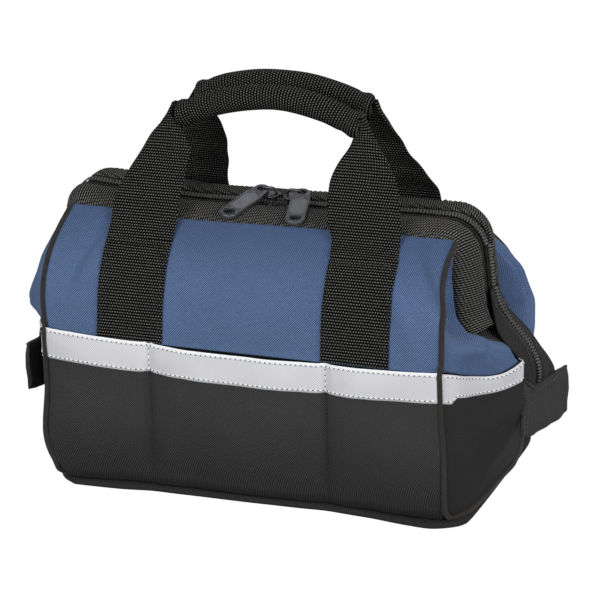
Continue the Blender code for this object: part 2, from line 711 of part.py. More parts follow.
def build_zip_coil(side, word, plastic):
    """A toothed bar along the top, plain round the corners and down the legs."""
    mesh_data = bmesh.new()
    rows = []

    def add_row(inner, outer, normal):
        below = normal * COIL_THICKNESS
        ring = [inner, outer, outer - below, inner - below]
        rows.append([mesh_data.verts.new(point) for point in ring])

    def add_plain(i):
        x, z = RIDGE_LINE[i]
        normal = line_normal(RIDGE_LINE, i)
        add_row(Vector((x, side * TOOTH_ROOT_BACK, z)), Vector((x, side * COIL_WIDTH, z)), normal)

    for i in range(STATIONS // 2):
        add_plain(i)
    for x, y in tooth_edge(side):
        push = COIL_PUSH * parting(x)
        add_row(Vector((x, side * (y + push), RIDGE_HEIGHT)),
                Vector((x, side * (COIL_WIDTH + push), RIDGE_HEIGHT)), Vector((0, 0, 1)))
    for i in range(STATIONS // 2, STATIONS):
        add_plain(i)
    for row, following in zip(rows, rows[1:]):
        for i in range(4):
            j = (i + 1) % 4
            mesh_data.faces.new((row[i], row[j], following[j], following[i]))
    mesh_data.faces.new(rows[0])
    mesh_data.faces.new(rows[-1])
    return finish_mesh(word + "_zip_coil", mesh_data, plastic, seam_axis(side))


def build_frame(side, word, webbing, steel, cloth, plastic):
    outer = [sleeve_ring(i, side, 0.0) for i in range(STATIONS)]
    inner = [sleeve_ring(i, side, SLEEVE_WALL) for i in range(STATIONS)]
    binding = sleeve_loft(word + "_mouth_binding", outer, inner, webbing, seam_axis(side))
    return [build_frame_rod(side, word, steel), binding, build_zip_tape(side, word, cloth),
            build_zip_coil(side, word, plastic)]


# Sliders: a body with channels for the two zip halves either side of a post, a bridge
# on top, and a pull whose eye hangs round the outer leg of the bridge

SLIDER_TOP = RIDGE_HEIGHT + SLIDER_GAP + SLIDER_PLATE
TAPE_BOTTOM = RIDGE_HEIGHT - TAPE_DEPTH - ZIP_TAPE_THICKNESS
SLIDER_BOTTOM = TAPE_BOTTOM - SLIDER_GAP - SLIDER_PLATE
CHANNEL_NOSE_HALF = COIL_WIDTH + COIL_PUSH + SLIDER_GAP
CHANNEL_TAIL_HALF = COIL_WIDTH + SLIDER_GAP


def build_slider(end, word, metal):
    centre = Vector((end * SLIDER_CENTRE_X, 0, RIDGE_HEIGHT))
    half_length = SLIDER_LENGTH / 2
    nose_half, tail_half = CHANNEL_NOSE_HALF + SLIDER_FLANGE, CHANNEL_TAIL_HALF + SLIDER_FLANGE
    taper_share = 0.70
    half_post = POST_WIDTH / 2

    # Local places run from the tail at -1 to the nose at +1; the nose faces the middle.
    def place(x_share, y, z):
        return Vector((centre.x - end * x_share * half_length, y, z))

    half_outline = [(-1.0, tail_half * taper_share), (-taper_share, tail_half), (0.0, nose_half),
                    (taper_share, nose_half), (1.0, nose_half * taper_share)]
    outline = half_outline + [(x, -y) for x, y in half_outline[::-1]]
    body = prism(word + "_slider", [place(x, y, SLIDER_BOTTOM) for x, y in outline],
                 (0, 0, SLIDER_TOP - SLIDER_BOTTOM), metal, centre)

    past = 1 + OVERRUN / half_length
    post_tip = 1 - POST_LENGTH / half_length
    channel = [(-past, CHANNEL_TAIL_HALF), (-1.0, CHANNEL_TAIL_HALF), (0.0, CHANNEL_NOSE_HALF),
               (past, CHANNEL_NOSE_HALF), (past, half_post), (mix(post_tip, 1, 0.4), half_post),
               (post_tip, 0.0)]
    channel += [(x, -y) for x, y in channel[-2::-1]]
    floor_z = SLIDER_BOTTOM + SLIDER_PLATE
    cut(body, prism(word + "_slider_channel", [place(x, y, floor_z) for x, y in channel],
                    (0, 0, SLIDER_TOP - SLIDER_PLATE - floor_z), metal))
    slot_inner = (CHANNEL_TAIL_HALF + POST_WIDTH) / 2
    for side in (FRONT, REAR):
        slot = [place(x, side * y, floor_z) for x, y in
                ((-past, slot_inner), (past, slot_inner), (past, nose_half + OVERRUN),
                 (-past, nose_half + OVERRUN))]
        height = ZIP_TAPE_THICKNESS + 2 * SLIDER_GAP
        cut(body, prism(word + "_slider_slot_" + str(side + 1), slot, (0, 0, height), metal))

    half_bridge = BRIDGE_LENGTH / 2
    low, high = SLIDER_TOP + GAP, SLIDER_TOP + GAP + BRIDGE_HEIGHT
    chamfer = BRIDGE_BAR
    arch = [(-half_bridge, low), (-half_bridge, high - chamfer), (-half_bridge + chamfer, high),
            (half_bridge - chamfer, high), (half_bridge, high - chamfer), (half_bridge, low),
            (half_bridge - BRIDGE_BAR, low), (half_bridge - BRIDGE_BAR, high - BRIDGE_BAR),
            (-half_bridge + BRIDGE_BAR, high - BRIDGE_BAR), (-half_bridge + BRIDGE_BAR, low)]
    bridge = prism(word + "_slider_bridge",
                   [Vector((centre.x + x, -BRIDGE_WIDTH / 2, z)) for x, z in arch],
                   (0, BRIDGE_WIDTH, 0), metal, centre)
    return [body, bridge]


def pull_pivot(end):
    leg_x = SLIDER_CENTRE_X + (BRIDGE_LENGTH - BRIDGE_BAR) / 2
    lift = PULL_HEAD_WIDTH / 2 * math.sin(PULL_SLOPE) + SLIDER_GAP
    return Vector((end * leg_x, 0, SLIDER_TOP + lift))


def arc(centre_x, centre_y, radius, first, last, steps):
    return [(centre_x + radius * math.cos(mix(first, last, i / steps)),
             centre_y + radius * math.sin(mix(first, last, i / steps))) for i in range(steps + 1)]


def pull_recess(far):
    """Outline of the sunk panel between the eye and the finger hole."""
    half_width = PULL_HEAD_WIDTH / 2 - PULL_RECESS_MARGIN
    near_round = PULL_EYE_RADIUS + PULL_RECESS_MARGIN
    far_round = PULL_HOLE_RADIUS + PULL_RECESS_MARGIN
    widest_share = 0.9
    near_half = min(half_width, near_round * widest_share)
    far_half = min(half_width, far_round * widest_share)
    near_angle = math.acos(near_half / near_round)
    far_angle = math.acos(far_half / far_round)
    near = arc(0, 0, near_round, -near_angle, near_angle - math.pi, 4)
    return near + arc(0, far, far_round, math.pi - far_angle, far_angle, 4)


def build_pull(end, word, metal):
    """A flat tab laid over the binding: eye, sunk panel, finger hole near the free end."""
    pivot = pull_pivot(end)
    head, half_end = PULL_HEAD_WIDTH / 2, PULL_WIDTH / 2
    far = -(PULL_LENGTH - head - half_end)
    outline = arc(0, 0, head, 0, math.pi, 8) + arc(0, far, half_end, math.pi, 2 * math.pi, 8)
    turn = -LEFT_PULL_TURN if end == LEFT else RIGHT_PULL_TURN
    lay = (Matrix.Translation(pivot) @ Matrix.Rotation(PULL_SLOPE, 4, "X")
           @ Matrix.Rotation(turn, 4, "Z"))

    def slab(name, flat_outline, bottom, top):
        low = [lay @ Vector((x, y, bottom)) for x, y in flat_outline]
        return prism(name, low, lay.to_3x3() @ Vector((0, 0, top - bottom)), metal, pivot)

    pull = slab(word + "_pull", outline, 0, PULL_THICKNESS)
    eye = arc(0, 0, PULL_EYE_RADIUS, 0, 2 * math.pi, 12)[:-1]
    hole = arc(0, far, PULL_HOLE_RADIUS, 0, 2 * math.pi, 12)[:-1]
    through = PULL_THICKNESS + OVERRUN
    cut(pull, slab(word + "_pull_eye", eye, -OVERRUN, through))
    cut(pull, slab(word + "_pull_hole", hole, -OVERRUN, through))
    cut(pull, slab(word + "_pull_recess", pull_recess(far),
                   PULL_THICKNESS - PULL_RECESS_DEPTH, through))
    return pull


# Zip tails and gussets

def build_zip_tail(end, word, cloth):
    """The zip runs on past the frame, out and down into the end tab."""
    start = (RIDGE_HALF_LEG + TAIL_THICKNESS + GAP, LEG_END_HEIGHT - GAP)
    tab_inner = END_EDGE_X + END_TOP_BULGE + TAPE_THICKNESS + 2 * GAP
    tab_middle = tab_inner + (TAB_FLARE + TAB_THICKNESS) / 2
    stop = (tab_middle + TAIL_THICKNESS / 2, TAB_TOP + GAP)
    path_shares = ((0.0, 0.0), (0.40, 0.06), (0.72, 0.18), (0.93, 0.38), (1.0, 0.64), (1.0, 1.0))
    grid = []
    for out_share, drop_share in path_shares:
        x, z = mix(start[0], stop[0], out_share), mix(start[1], stop[1], drop_share)
        grid.append([Vector((end * x, y, z)) for y in (-TAIL_WIDTH / 2, 0, TAIL_WIDTH / 2)])
    return sheet(word + "_zip_tail", grid, TAIL_THICKNESS, cloth, outward=(end, 0, 0))


def gusset_edges(end, side, count):
    """Rows of places along the four edges of a gusset quarter."""
    panel_edge, mouth_edge, lower_edge = [], [], []
    inset = CLOTH / 2 + PIPING_RADIUS + GUSSET_SEAM_GAP / 2
    for run in spread(2 * GUSSET_SEAM_GAP, PANEL_RUN - GUSSET_SEAM_GAP, count):
        x = end * (panel_half_length(run) + PIPE_OFFSET)
        panel_edge.append(panel_point(side, x, run, -inset))
    for y in spread(HALF_DEPTH - GUSSET_SEAM_GAP, GUSSET_SEAM_GAP / 2, count):
        place = end_surface(end, side * y, end_top(y), -CLOTH / 2)
        lower_edge.append(place + Vector((0, 0, GUSSET_SEAM_GAP / 2)))
    legs = [mouth_point(i, SEAM_Y, SLEEVE_HEIGHT / 4, side) for i in range(3)]
    if end == RIGHT:
        legs = [mouth_point(STATIONS - 1 - i, SEAM_Y, SLEEVE_HEIGHT / 4, side) for i in range(3)]
    stops = [lower_edge[-1], *legs]
    stop_shares = (0.0, 0.35, 0.70, 1.0)
    for share in spread(0.0, 1.0, count):
        for k in range(3):
            if share <= stop_shares[k + 1]:
                within = (share - stop_shares[k]) / (stop_shares[k + 1] - stop_shares[k])
                mouth_edge.append(mix(stops[k], stops[k + 1], within))
                break
    return panel_edge, mouth_edge, lower_edge


def build_gusset(end, side, name, cloth):
    """A Coons patch between its seams, swollen out or tucked in along X."""
    count = 7
    panel_edge, mouth_edge, lower_edge = gusset_edges(end, side, count)
    swell = GUSSET_FULL_BULGE if (end, side) in ((LEFT, FRONT), (RIGHT, REAR)) else GUSSET_TUCK
    grid = []
    for j, v in enumerate(spread(0.0, 1.0, count)):
        row = []
        for i, u in enumerate(spread(0.0, 1.0, count)):
            top = mix(panel_edge[-1], mouth_edge[-1], u)
            sides = mix(panel_edge[j], mouth_edge[j], u)
            ends = mix(lower_edge[i], top, v)
            corners = mix(mix(lower_edge[0], lower_edge[-1], u), top, v)
            place = sides + ends - corners
            place.x += end * swell * math.sin(math.pi * u) * math.sin(math.pi * v)
            row.append(place)
        grid.append(row)
    return sheet(name, grid, GUSSET_THICKNESS, cloth, outward=(end, 0, 0))


# Handles: flat webbing straps drawn together into a rolled grip

def handle_line(side):
    """Centre line of the left half of a handle, strap then grip: (x, y, z) places."""
    foot = panel_point(side, 0.0, STRAP_FOOT_RUN, GAP + WEBBING_THICKNESS / 2)
    lip_z = SEAM_HEIGHT + STRAP_CLEARANCE
    lip_y = SEAM_Y + STRAP_CLEARANCE
    rise_shares = (0.30, 0.58, 0.82, 1.0)
    inward_shares = (0.03, 0.18, 0.52, 1.0)
    places = [Vector((-STRAP_X, foot.y, foot.z)), Vector((-STRAP_X, side * lip_y, lip_z))]
    for rise, inward in zip(rise_shares, inward_shares):
        places.append(Vector((mix(-STRAP_X, -GRIP_HALF_LENGTH, inward),
                              side * mix(lip_y, GRIP_Y, rise),
                              mix(lip_z, GRIP_END_HEIGHT, rise))))
    return places


def strap_ring(centre, along, across, width, thickness):
    """A flat section with eased edges."""
    out = along.cross(across).normalized()
    half_w, half_t = width / 2, thickness / 2
    places = [(half_w, half_t / 2), (half_w - half_t, half_t)]
    places += [(-u, v) for u, v in places[::-1]]
    places += [(u, -v) for u, v in places[::-1]]
    return [centre + across * u + out * v for u, v in places]


def build_handle(side, word, webbing):
    origin = strap_axis(side)
    line = handle_line(side)
    width_shares = (0.0, 0.0, 0.0, 0.18, 0.60, 1.0)
    thick_shares = (0.0, 0.0, 0.0, 0.10, 0.45, 1.0)
    end_slope = math.atan(2 * GRIP_MIDDLE_RISE / GRIP_HALF_LENGTH)
    pieces = []
    for end, end_word in ((LEFT, "left"), (RIGHT, "right")):
        rings = []
        for i, place in enumerate(line):
            along = (line[min(i + 1, len(line) - 1)] - line[max(i - 1, 0)]).normalized()
            if i == len(line) - 1:
                along = Vector((math.cos(end_slope), 0, math.sin(end_slope)))
            facing = Vector((0, along.z, -along.y))
            across = facing.cross(along).normalized()
            width = mix(WEBBING_WIDTH, NECK_WIDTH, width_shares[i])
            thickness = mix(WEBBING_THICKNESS, NECK_THICKNESS, thick_shares[i])
            ring = strap_ring(place, along, across, width, thickness)
            rings.append([Vector((-end * point.x, point.y, point.z)) for point in ring])
        pieces.append(loft(word + "_handle_strap_" + end_word, rings, webbing, origin))
    neck = line[-1]
    steps = 10
    rings = []
    radius = GRIP_DIAMETER / 2
    for share in spread(-1.0, 1.0, steps + 1):
        x = share * (GRIP_HALF_LENGTH - 2 * GAP)
        z = neck.z + GRIP_MIDDLE_RISE * (1 - share * share)
        slope = math.atan(-2 * GRIP_MIDDLE_RISE * share / GRIP_HALF_LENGTH)
        ring = []
        for k in range(10):
            angle = 2 * math.pi * k / 10
            ring.append(Vector((x - radius * math.sin(angle) * math.sin(slope),
                                neck.y + radius * math.cos(angle),
                                z + radius * math.sin(angle) * math.cos(slope))))
        rings.append(ring)
    pieces.append(loft(word + "_handle_grip", rings, webbing, origin))
    return pieces


def main():
    clear_scene()
    black = make_material("black polyester", (0.030, 0.030, 0.032), 0.85)
    blue = make_material("blue polyester", (0.075, 0.125, 0.262), 0.80)
    reflective = make_material("reflective tape", (0.62, 0.64, 0.67), 0.45)
    webbing = make_material("black webbing", (0.018, 0.018, 0.019), 0.80)
    trim = make_material("dark piping", (0.030, 0.027, 0.026), 0.75)
    board = make_material("stiffener board", (0.12, 0.12, 0.12), 0.60)
    steel = make_material("zinc plated steel", (0.55, 0.55, 0.57), 0.35, 1.0)
    zip_cloth = make_material("zip tape", (0.020, 0.020, 0.022), 0.75)
    zip_plastic = make_material("zip coil", (0.015, 0.015, 0.016), 0.40)
    gunmetal = make_material("gunmetal", (0.10, 0.105, 0.13), 0.35, 1.0)

    build_base(black, board)
    for side, word in ((FRONT, "front"), (REAR, "rear")):
        build_body(side, word, black, reflective)
        build_upper_wall(side, word, blue, trim, webbing)
        build_frame(side, word, webbing, steel, zip_cloth, zip_plastic)
        build_handle(side, word, webbing)
        build_gusset(LEFT, side, "left_" + word + "_gusset", blue)
        build_gusset(RIGHT, side, "right_" + word + "_gusset", blue)
    for end, word in ((LEFT, "left"), (RIGHT, "right")):
        build_end(end, word, black, reflective, trim)
        build_rivet(word + "_frame_rivet", end, steel)
        build_zip_tail(end, word, zip_cloth)
        build_slider(end, word, gunmetal)
        build_pull(end, word, gunmetal)


main()
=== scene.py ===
import json
import math

import bmesh
import bpy
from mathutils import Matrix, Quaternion, Vector, noise


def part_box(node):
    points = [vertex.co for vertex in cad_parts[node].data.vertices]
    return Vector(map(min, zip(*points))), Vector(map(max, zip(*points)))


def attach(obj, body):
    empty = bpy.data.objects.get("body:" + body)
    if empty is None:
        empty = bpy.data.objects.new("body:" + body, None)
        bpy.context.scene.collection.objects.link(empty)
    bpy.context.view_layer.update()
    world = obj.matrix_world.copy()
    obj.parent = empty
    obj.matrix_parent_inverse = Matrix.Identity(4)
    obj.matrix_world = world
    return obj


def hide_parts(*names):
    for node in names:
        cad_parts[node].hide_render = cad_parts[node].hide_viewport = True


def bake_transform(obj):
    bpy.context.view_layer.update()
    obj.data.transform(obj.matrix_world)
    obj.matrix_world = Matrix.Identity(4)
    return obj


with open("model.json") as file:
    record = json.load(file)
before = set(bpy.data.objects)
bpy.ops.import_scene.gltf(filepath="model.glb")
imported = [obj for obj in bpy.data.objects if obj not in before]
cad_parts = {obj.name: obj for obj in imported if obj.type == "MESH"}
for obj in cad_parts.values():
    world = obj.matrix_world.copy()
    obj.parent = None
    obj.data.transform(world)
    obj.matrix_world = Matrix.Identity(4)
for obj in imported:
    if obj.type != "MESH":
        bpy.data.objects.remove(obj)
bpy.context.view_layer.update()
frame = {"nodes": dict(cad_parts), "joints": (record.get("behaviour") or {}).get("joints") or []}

left, right, front, rear = -1, 1, -1, 1
endWord = {left: "left", right: "right"}
sideWord = {front: "front", rear: "rear"}


def jointPlace(name):
    return Vector(next(joint["pos_m"] for joint in frame["joints"] if joint["name"] == name))


# Driving places, read from the frame
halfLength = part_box("front_lower_panel")[1].x
halfDepth = -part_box("front_lower_panel")[0].y
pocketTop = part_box("front_pocket_panel")[1].z
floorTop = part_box("front_pocket_panel")[0].z
foldHeight = jointPlace("front_wall_hinge").z
seamHeight = jointPlace("front_frame_hinge").z
seamY = -jointPlace("front_frame_hinge").y
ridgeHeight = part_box("front_zip_coil")[1].z
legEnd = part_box("front_mouth_binding")[0].z


# Numbers and lines

def mix(a, b, share):
    return a + (b - a) * share


def clamp(value, low=0.0, high=1.0):
    return max(low, min(high, value))


def ease(share):
    share = clamp(share)
    return share * share * (3 - 2 * share)


def bump(value, centre, width):
    return math.exp(-((value - centre) / width) ** 2)


def squared(value, power):
    # a sine or cosine pushed toward 1 or -1, which squares up a round section
    return math.copysign(abs(value) ** power, value)


def shares(count):
    return [i / (count - 1) for i in range(count)]


def lumps(spot, size, amount, seed=0.0):
    # soft unevenness of cloth, the same each run
    return amount * noise.noise(Vector((spot[0] / size + seed, spot[1] / size, spot[2] / size - seed)))


def curve(share, places):
    # smooth through evenly spaced places, which are numbers or points
    last = len(places) - 1
    at = clamp(share) * last
    i = min(int(at), last - 1)
    t = at - i
    p0, p1 = places[max(i - 1, 0)], places[i]
    p2, p3 = places[i + 1], places[min(i + 2, last)]
    return 0.5 * (2 * p1 + (p2 - p0) * t + (2 * p0 - 5 * p1 + 4 * p2 - p3) * t * t
                  + (3 * p1 - p0 - 3 * p2 + p3) * t * t * t)


def smoothPath(points, count):
    return [curve(share, points) for share in shares(count)]


def pathLengths(points):
    lengths = [0.0]
    for a, b in zip(points, points[1:]):
        lengths.append(lengths[-1] + (b - a).length)
    return lengths


def alongPath(points, lengths, distance):
    distance = clamp(distance, 0.0, lengths[-1])
    for i in range(len(points) - 1):
        if distance <= lengths[i + 1]:
            span = lengths[i + 1] - lengths[i]
            return points[i].lerp(points[i + 1], (distance - lengths[i]) / span if span else 0.0)
    return points[-1].copy()


def wayAlong(points, lengths, distance, reach):
    return (alongPath(points, lengths, distance + reach)
            - alongPath(points, lengths, distance - reach)).normalized()


# Shader wiring: a wrapped socket that takes part in plain expressions

class Wire:
    def __init__(self, tree, socket=None):
        self.tree, self.socket = tree, socket

    def node(self, kind, settings=None, sockets=None, out=0):
        made = self.tree.nodes.new("ShaderNode" + kind)
        for key, value in (settings or {}).items():
            setattr(made, key, value)
        for key, value in (sockets or {}).items():
            if isinstance(value, Wire):
                self.tree.links.new(value.socket, made.inputs[key])
            else:
                made.inputs[key].default_value = value
        return Wire(self.tree, made.outputs[out])

    def output(self, key):
        # another output of the same node
        return Wire(self.tree, self.socket.node.outputs[key])

    def maths(self, operation, *values):
        return self.node("Math", {"operation": operation}, dict(enumerate(values)))

    def __add__(self, other):
        return self.maths("ADD", self, other)

    def __sub__(self, other):
        return self.maths("SUBTRACT", self, other)

    def __rsub__(self, other):
        return self.maths("SUBTRACT", other, self)

    def __mul__(self, other):
        return self.maths("MULTIPLY", self, other)

    def __abs__(self):
        return self.maths("ABSOLUTE", self)

    __radd__, __rmul__ = __add__, __mul__

    def wave(self, pitch):
        # 0 to 1, one crest each pitch
        return self.maths("SINE", self * (2 * math.pi / pitch)) * 0.5 + 0.5

    def over(self, edge, soft):
        # 0 below the edge, 1 above it
        return self.node("MapRange", {"interpolation_type": "SMOOTHSTEP"},
                         {"Value": self, "From Min": edge - soft, "From Max": edge + soft})

    def speckle(self, scale, detail=2.0, roughness=0.5):
        # soft noise through the cloth
        return self.node("TexNoise", None, {"Vector": self, "Scale": scale, "Detail": detail,
                                            "Roughness": roughness})

    def colour(self, dark, light):
        return self.node("Mix", {"data_type": "RGBA", "clamp_factor": True}, {0: self, 6: dark, 7: light}, 2)


def newFinish(name, roughness=0.8, metallic=0.0, sheen=0.0, coat=0.0, gloss=0.12):
    # a material, its shader, and wires that run along the cloth, across it and through space
    material = bpy.data.materials.new(name)
    material.use_nodes = True
    shader = material.node_tree.nodes["Principled BSDF"]
    for key, value in (("Roughness", roughness), ("Metallic", metallic), ("Sheen Weight", sheen),
                       ("Sheen Roughness", 0.5), ("Coat Weight", coat), ("Specular IOR Level", gloss)):
        shader.inputs[key].default_value = value
    start = Wire(material.node_tree)
    along = start.node("SeparateXYZ", None, {0: start.node("UVMap", {"uv_map": "cloth"})})
    return material, shader, along, along.output(1), start.node("TexCoord", None, None, 3)


def dress(shader, colour, relief=None, roughness=None):
    # relief: how strong it is, how deep, and its height over the surface
    wires = {"Base Color": colour, "Roughness": roughness}
    if relief:
        wires["Normal"] = colour.node("Bump", None, dict(zip(("Strength", "Distance", "Height"), relief)))
    for key, wire in wires.items():
        if wire:
            wire.tree.links.new(wire.socket, shader.inputs[key])


def rgb(*values):
    # screen values 0 to 255 to linear
    return tuple((v / 255 / 12.92) if v <= 10 else ((v / 255 + 0.055) / 1.055) ** 2.4
                 for v in values) + (1.0,)


wovenLook = {"pitch": 0.00152, "weft": 1.12, "wobble": 0.0005, "contrast": 2.8, "bump": 0.5,
             "depth": 0.00022, "cloudSize": 24.0, "grainSize": 820.0}


def wovenCloth(name, dark, light, sheen, roughness, grainShare, paintedShade=None):
    # fine polyester: crossed diagonal threads, uneven yarns, faint clouds where it has been handled
    # paintedShade: painted shade by height, darker near the floor or toward the mouth where shadow falls: a
    # height, half the width of the change there, shade below it and above it
    look = wovenLook
    material, shader, along, across, space = newFinish(name, roughness, sheen=sheen)
    wobble = (space.speckle(900.0, 1.0) - 0.5) * look["wobble"]
    grain = space.speckle(look["grainSize"], 2.5, 0.7)
    twill = (along + across + wobble).wave(look["pitch"])
    weft = (along - across + wobble).wave(look["pitch"] * look["weft"])
    threads = (twill * 0.5 + weft * 0.5 - 0.5) * look["contrast"] + 0.5
    coarse = (grain - 0.5) * 2.0 + 0.5
    clouds = space.speckle(look["cloudSize"], 3.0)
    shade = threads * 0.62 + coarse * (grainShare * 0.4) + clouds * (0.38 - grainShare * 0.4)
    # painted shade: the cloth's colour is darkened below or above a height, standing in for shadow
    if paintedShade:
        height, soft, below, above = paintedShade
        rise = space.node("SeparateXYZ", None, {0: space}, 2).over(height, soft)
        shade = shade * (rise * (above - below) + below)
    dress(shader, shade.colour(dark, light), (look["bump"], look["depth"], threads + grain * 0.8))
    return material


webbingLook = {"row": 0.00212, "dot": 0.00200, "rowDrift": 0.0006, "dotDrift": 0.0005, "bump": 0.7,
               "depth": 0.0005}


def dottedWebbing(name, dark, light):
    # heavy webbing: rows of short floats, every other row set over by half a float
    look = webbingLook
    material, shader, along, across, space = newFinish(name, 0.74, gloss=0.05)
    drift = space.speckle(70.0) - 0.5
    lengthwise = along + drift * look["rowDrift"]
    rows = lengthwise.wave(look["row"])
    halfRow = lengthwise.wave(2 * look["row"]).over(0.5, 0.02)
    dots = (across + drift * look["dotDrift"] + halfRow * (look["dot"] / 2)).wave(look["dot"])
    floats = (rows * dots).over(0.56, 0.26) + rows.over(0.80, 0.18) * 0.10
    tone = floats * (space.speckle(700.0) * 1.4 + 0.20)
    dress(shader, tone.colour(dark, light), (look["bump"], look["depth"], rows * 0.5 + floats * 0.7))
    return material


ribLook = {"drift": 0.0016, "yarn": 0.0034, "yarnSlant": 0.35, "bump": 0.65, "depth": 0.0004}


def ribbedWebbing(name, dark, light, pitch, slant):
    # binding: ribs across the strip
    look = ribLook
    material, shader, along, across, space = newFinish(name, 0.74, gloss=0.05)
    drift = (space.speckle(60.0) - 0.5) * look["drift"]
    ribs = (along + across * slant + drift).wave(pitch)
    yarn = (across + along * look["yarnSlant"]).wave(look["yarn"])
    tone = ribs.over(0.66, 0.26) * (yarn.over(0.35, 0.30) * 0.60 + space.speckle(1200.0, 1.0) * 0.60)
    dress(shader, tone.colour(dark, light), (look["bump"], look["depth"], ribs + yarn * 0.25))
    return material


tapeLook = {"middle": 0.0112, "plain": 0.0099, "edge": 0.0003, "weave": 0.0018}


def tapeCloth(name):
    # retroreflective tape: flat grey with a fine grain, paler worn edges
    look = tapeLook
    material, shader, along, across, space = newFinish(name, 0.55)
    weave = (along + across).wave(look["weave"]) * 0.5 + (along - across).wave(look["weave"]) * 0.5
    shade = space.speckle(1500.0) * 0.30 + (weave - 0.5) * 1.6 + 0.20 + space.speckle(35.0) * 0.25
    edge = abs(across - look["middle"]).over(look["plain"], look["edge"])
    cloth = shade.colour(rgb(196, 196, 200), rgb(234, 234, 238))
    dress(shader, edge.colour(cloth, rgb(246, 247, 249)), (0.2, 0.0002, weave + edge * 2.0))
    return material


def threadFinish(name, colour):
    # sewing thread, its twist paler than the rest
    material, shader, *_, space = newFinish(name, 0.6, sheen=0.2)
    pale = tuple(min(1.0, c * 1.5 + 0.01) for c in colour[:3]) + (1.0,)
    dress(shader, space.node("SeparateXYZ", None, {0: space}).wave(0.0007).colour(colour, pale))
    return material


def cordCloth(name, dark, light):
    # piping: thin cloth wrapped on a cord, its weave running slantwise
    material, shader, along, across, space = newFinish(name, 0.7, sheen=0.12)
    wrap = (along + across * 1.2).wave(0.0012)
    tone = wrap * 0.45 + space.speckle(240.0, 3.0) * 0.55
    dress(shader, tone.colour(dark, light), (0.3, 0.0002, wrap))
    return material


def lacqueredMetal(name, dark, light, roughness, metallic):
    # die casting under lacquer, paler on its sharp edges
    material, shader, *_, space = newFinish(name, roughness, metallic, coat=0.25, gloss=0.6)
    speck, rub = space.speckle(2600.0), space.speckle(220.0, 3.0)
    paleEdges = space.node("NewGeometry", None, None, "Pointiness").over(0.56, 0.05)
    tone = rub * 0.6 + speck * 0.25 + paleEdges * 0.5
    dress(shader, tone.colour(dark, light), (0.2, 0.0001, speck), rub * 0.22 + (roughness - 0.1))
    return material


def coilPlastic(name):
    material, shader, *_, space = newFinish(name, 0.34, gloss=0.7)
    rub = space.speckle(500.0)
    dress(shader, rub.colour(rgb(26, 26, 26), rgb(92, 91, 88)), None, rub * 0.25 + 0.28)
    return material


def boardPlastic(name, colour):
    material, shader, *_ = newFinish(name, 0.6)
    shader.inputs["Base Color"].default_value = colour
    return material


print("stage: finishes")
finishes = {
    # the blue's last four numbers are painted shadow: it darkens toward the mouth, under the binding and the
    # pulls
    "blue": wovenCloth("blueCloth", rgb(40, 58, 92), rgb(108, 133, 173), 0.05, 0.75, 0.55,
                       (0.172, 0.024, 1.03, 0.56)),
    # the black's and the end's last four numbers are painted shade: both darken near the floor, where less
    # light reaches
    "black": wovenCloth("blackCloth", rgb(8, 8, 9), rgb(82, 82, 83), 0.0, 0.86, 0.60,
                        (0.042, 0.036, 0.50, 1.00)),
    # the end cloth is the same black polyester in darker, flatter tones: painted shade for the ends, which turn
    # from the key lamp
    "end": wovenCloth("shadedEndCloth", rgb(18, 18, 18), rgb(62, 62, 62), 0.0, 0.84, 0.60,
                      (0.045, 0.036, 0.66, 1.02)),
    "tab": wovenCloth("tabCloth", rgb(20, 20, 20), rgb(84, 84, 84), 0.0, 0.82, 0.60),
    "lining": wovenCloth("liningCloth", rgb(16, 16, 17), rgb(34, 34, 36), 0.03, 0.88, 0.5),
    "webbing": dottedWebbing("dottedWebbing", rgb(2, 2, 2), rgb(113, 112, 109)),
    "ribbed": ribbedWebbing("ribbedWebbing", rgb(2, 2, 2), rgb(128, 127, 124), 0.00172, 0.06),
    "zipTape": ribbedWebbing("zipTapeCloth", rgb(10, 10, 10), rgb(62, 61, 58), 0.0011, 0.0),
    "tape": tapeCloth("reflectiveTape"),
    "whiteThread": threadFinish("whiteThread", rgb(236, 238, 242)),
    "greyThread": threadFinish("greyThread", rgb(70, 70, 70)),
    "darkThread": threadFinish("darkThread", rgb(26, 26, 26)),
    "piping": cordCloth("pipingCloth", rgb(20, 19, 18), rgb(62, 58, 54)),
    "coil": coilPlastic("zipCoil"),
    "gunmetal": lacqueredMetal("gunmetal", rgb(84, 85, 92), rgb(146, 147, 155), 0.36, 0.35),
    "rimMetal": lacqueredMetal("rimMetal", rgb(50, 51, 56), rgb(116, 117, 124), 0.30, 0.50),
    "blackNickel": lacqueredMetal("blackNickel", rgb(16, 16, 18), rgb(60, 61, 66), 0.16, 0.60),
    "steel": lacqueredMetal("frameSteel", rgb(120, 120, 122), rgb(190, 190, 194), 0.3, 1.0),
    "board": boardPlastic("stiffenerBoard", rgb(58, 58, 58)),
}


# Mesh making

def newPiece(name, data):
    piece = bpy.data.objects.new(name, data)
    bpy.context.scene.collection.objects.link(piece)
    return piece


def finalMesh(piece):
    return bpy.data.meshes.new_from_object(piece.evaluated_get(bpy.context.evaluated_depsgraph_get()))


def meshPiece(name, vertices, faces, uvs, finish):
    # uvs: one pair for each corner of each face, in metres along and across the cloth
    mesh = bpy.data.meshes.new(name)
    mesh.from_pydata([tuple(spot) for spot in vertices], [], faces)
    if uvs:
        layer = mesh.uv_layers.new(name="cloth")
        layer.uv.foreach_set("vector", [c for face in uvs for pair in face for c in pair])
    mesh.materials.append(finishes[finish])
    mesh.update()
    mesh.shade_smooth()
    return newPiece(name, mesh)


def recalc(piece):
    mesh = bmesh.new()
    mesh.from_mesh(piece.data)
    bmesh.ops.recalc_face_normals(mesh, faces=mesh.faces)
    mesh.to_mesh(piece.data)
    mesh.free()


